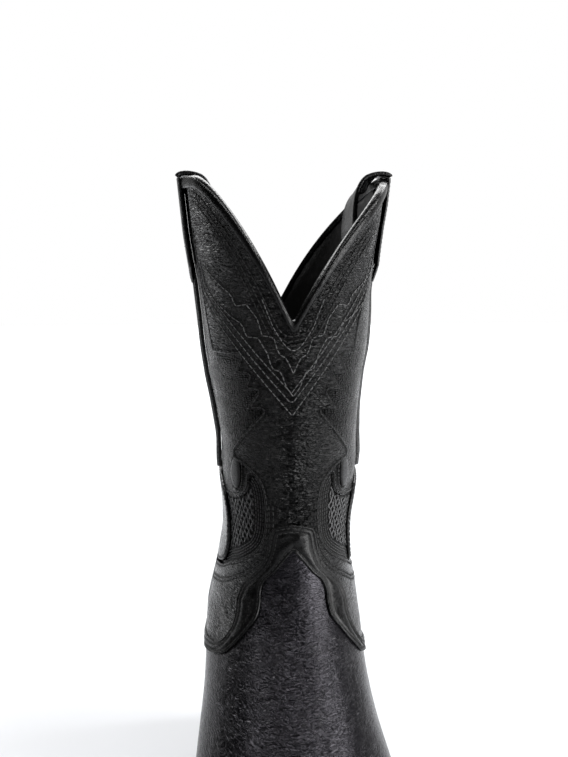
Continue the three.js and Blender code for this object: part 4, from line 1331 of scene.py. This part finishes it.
def make_sole():
    rings = sole_rings(OUTSOLE_REACH, above(-SOLE_STACK), above(OUTSOLE_TOP), 0.9)
    finished(slab("outsole_leather", rings, 420), SOLE, "sole_leather", "outsole")
    welt_out = narrower(1.2)
    for name, reach, start, end in (("welt", welt_out, -100, 100), ("heel_rand", narrower(0.8), 101, 259)):
        strip = strip_of_edge(f"{name}_leather", reach, level(WELT_INNER), above(WELT_BOTTOM),
                              above(WELT_TOP), start, end)
        finished(strip, SOLE, "sole_leather", name)
    welt_line = np.column_stack([np.linspace(-99, 99, 500), np.zeros(500)])

    def on_welt(p, w=0.0):
        base = on_last(p)
        y = base[..., 1] - FRAME_SHIFT
        xy = on_last(p, welt_out(y) - 2.2)
        height = feather_height(xy[..., 1] - FRAME_SHIFT) + WELT_TOP + w
        return np.stack([xy[..., 0], xy[..., 1], height], -1)

    finished(stitches("welt_stitching", [(welt_line, 0.12, on_welt)], 0.5, 3.6), WELT_THREAD, "sole_leather")
    rings = sole_rings(narrower(HEEL_TAPER), level(0), level(CAP_TOP), 0.5, HEEL_BREAST + 2.1, 0.6)
    finished(slab("heel_cap_rubber", rings, 220), RUBBER, "rubber_cap", "heel_cap")
    for k in range(LIFTS):
        taper = HEEL_TAPER * (1 - (k + 1) / LIFTS)
        low = CAP_TOP + 0.1 + k * LIFT_PITCH
        high = low + LIFT_PITCH - 0.1 + (0.6 if k == LIFTS - 1 else 0.0)  # the last one meets the outsole
        rings = sole_rings(narrower(max(taper, 0.1)), level(low), level(high), 0.32,
                           HEEL_BREAST + 0.6 * taper, 0.75)
        finished(slab(f"heel_lift_{k + 1}_leather", rings, 220), SOLE, "sole_leather", f"heel_lift_{k + 1}")
    bed = []
    for inset, rise in ((2.4, 0.1), (1.9, 0.8), (1.8, 2.2), (2.2, 3.1), (3.2, 3.6), (5.5, 3.9)):
        bed.append((edge_line(level(-inset)), above(rise)))
    pad = finished(slab("footbed_pad", bed, 260), FELT, "footbed", "footbed")


# ---------------------------------------------------------------- kept CAD pieces
def make_hidden():
    """The pieces inside keep their CAD meshes and get materials."""
    looks = {"insole": BARE, "cork_filler": CORK, "steel_shank": STEEL, "toe_puff": BARE,
             "counter_stiffener": BARE}
    for name, look in looks.items():
        obj = frame["nodes"][name]
        for slot in obj.material_slots:
            slot.link = "OBJECT"
            slot.material = look


make_shaft()
make_vamp()
make_inlays()
make_linings()
make_bindings()
make_pipings()
make_straps()
make_sole()
make_hidden()


# ---------------------------------------------------------------- floor, light, camera
def make_stage():
    mesh = bpy.data.meshes.new("floor")
    side, front, back = 1.8, -1.2, 2.8
    mesh.from_pydata([(-side, front, 0), (side, front, 0), (side, back, 0), (-side, back, 0)], [],
                     [(0, 1, 2, 3)])
    floor = bpy.data.objects.new("floor", mesh)
    bpy.context.scene.collection.objects.link(floor)
    g = Graph("pale_floor")
    g.shade(Base_Color=(0.70, 0.71, 0.73, 1.0))
    g.shader.inputs["Roughness"].default_value = 0.7
    floor.data.materials.append(g.material)


# Name, place, target, size and power: a large key from the right, a faint fill, two strips that draw
# the bands on the vamp, and a light for the floor behind.
LIGHTS = (
    ("key_right", (1.35, -0.85, 0.42), (0, 0, 0.25), (1.5, 1.2), 64),
    ("side_left", (-1.1, 0.9, 0.5), (0, 0, 0.2), (0.4, 1.0), 1.0),
    ("strip_right", (0.50, 0.0, 1.2), (0, -0.1, 0.1), (0.10, 1.3), 8),
    ("strip_left", (-0.50, 0.0, 1.2), (0, -0.1, 0.1), (0.08, 1.3), 4.5),
    ("top_back", (0.0, 2.6, 2.2), (0, 2.2, 0), (5.5, 1.6), 210),
)


def softbox(name, place, target, size, power):
    light = bpy.data.lights.new(name, "AREA")
    light.shape = "RECTANGLE"
    light.size, light.size_y = size
    light.energy = power
    obj = bpy.data.objects.new(name, light)
    obj.location = place
    obj.rotation_euler = (Vector(target) - Vector(place)).to_track_quat("-Z", "Y").to_euler()
    bpy.context.scene.collection.objects.link(obj)


BRIGHT_SIDE = (0.40, 0.92, 0.0)  # the room's white side is behind the boot, a little to the right
ROOM_LIGHT = 0.7


def make_world():
    """White to the camera; the leather mirrors a room that is bright behind and dim in front."""
    world = bpy.data.worlds.new("studio")
    bpy.context.scene.world = world
    world.use_nodes = True
    tree = world.node_tree
    tree.nodes.clear()
    where = tree.nodes.new("ShaderNodeTexCoord")
    towards = tree.nodes.new("ShaderNodeVectorMath")
    towards.operation = "DOT_PRODUCT"
    towards.inputs[1].default_value = BRIGHT_SIDE
    tree.links.new(where.outputs["Generated"], towards.inputs[0])
    fade = tree.nodes.new("ShaderNodeMapRange")
    fade.interpolation_type = "SMOOTHSTEP"
    for index, value in ((1, 0.35), (2, 0.95), (3, 0.0), (4, ROOM_LIGHT)):
        fade.inputs[index].default_value = value
    tree.links.new(towards.outputs["Value"], fade.inputs[0])
    path = tree.nodes.new("ShaderNodeLightPath")
    pick = tree.nodes.new("ShaderNodeMix")
    pick.inputs[3].default_value = 1.0
    tree.links.new(path.outputs["Is Camera Ray"], pick.inputs[0])
    tree.links.new(fade.outputs[0], pick.inputs[2])
    back = tree.nodes.new("ShaderNodeBackground")
    back.inputs[0].default_value = (1, 1, 1, 1)
    tree.links.new(pick.outputs[0], back.inputs[1])
    output = tree.nodes.new("ShaderNodeOutputWorld")
    tree.links.new(back.outputs[0], output.inputs[0])


def make_camera():
    """Seen from in front and a little to the inner side, at the height of the top line."""
    turn, pitch = math.radians(-3.96), math.radians(3.0)
    distance, height = 595.25, 323.6
    frame_height, focal, drop = 757, 1041.5, 100  # in pixels; the boot's axis stands 75 mm behind the origin
    camera = bpy.data.cameras.new("camera")
    camera.sensor_width = 36.0
    camera.sensor_fit = "AUTO"
    camera.lens = focal * camera.sensor_width / frame_height
    camera.shift_y = -drop / frame_height
    obj = bpy.data.objects.new("camera", camera)
    obj.location = ((SHIFT_X + distance * math.sin(turn)) * MM,
                    (75 + FRAME_SHIFT - distance * math.cos(turn)) * MM, height * MM)
    obj.rotation_euler = (math.pi / 2 - pitch, 0, turn)
    bpy.context.scene.collection.objects.link(obj)
    bpy.context.scene.camera = obj


make_stage()
make_world()
for light in LIGHTS:
    softbox(*light)
make_camera()
bpy.context.scene.view_settings.view_transform = "Standard"
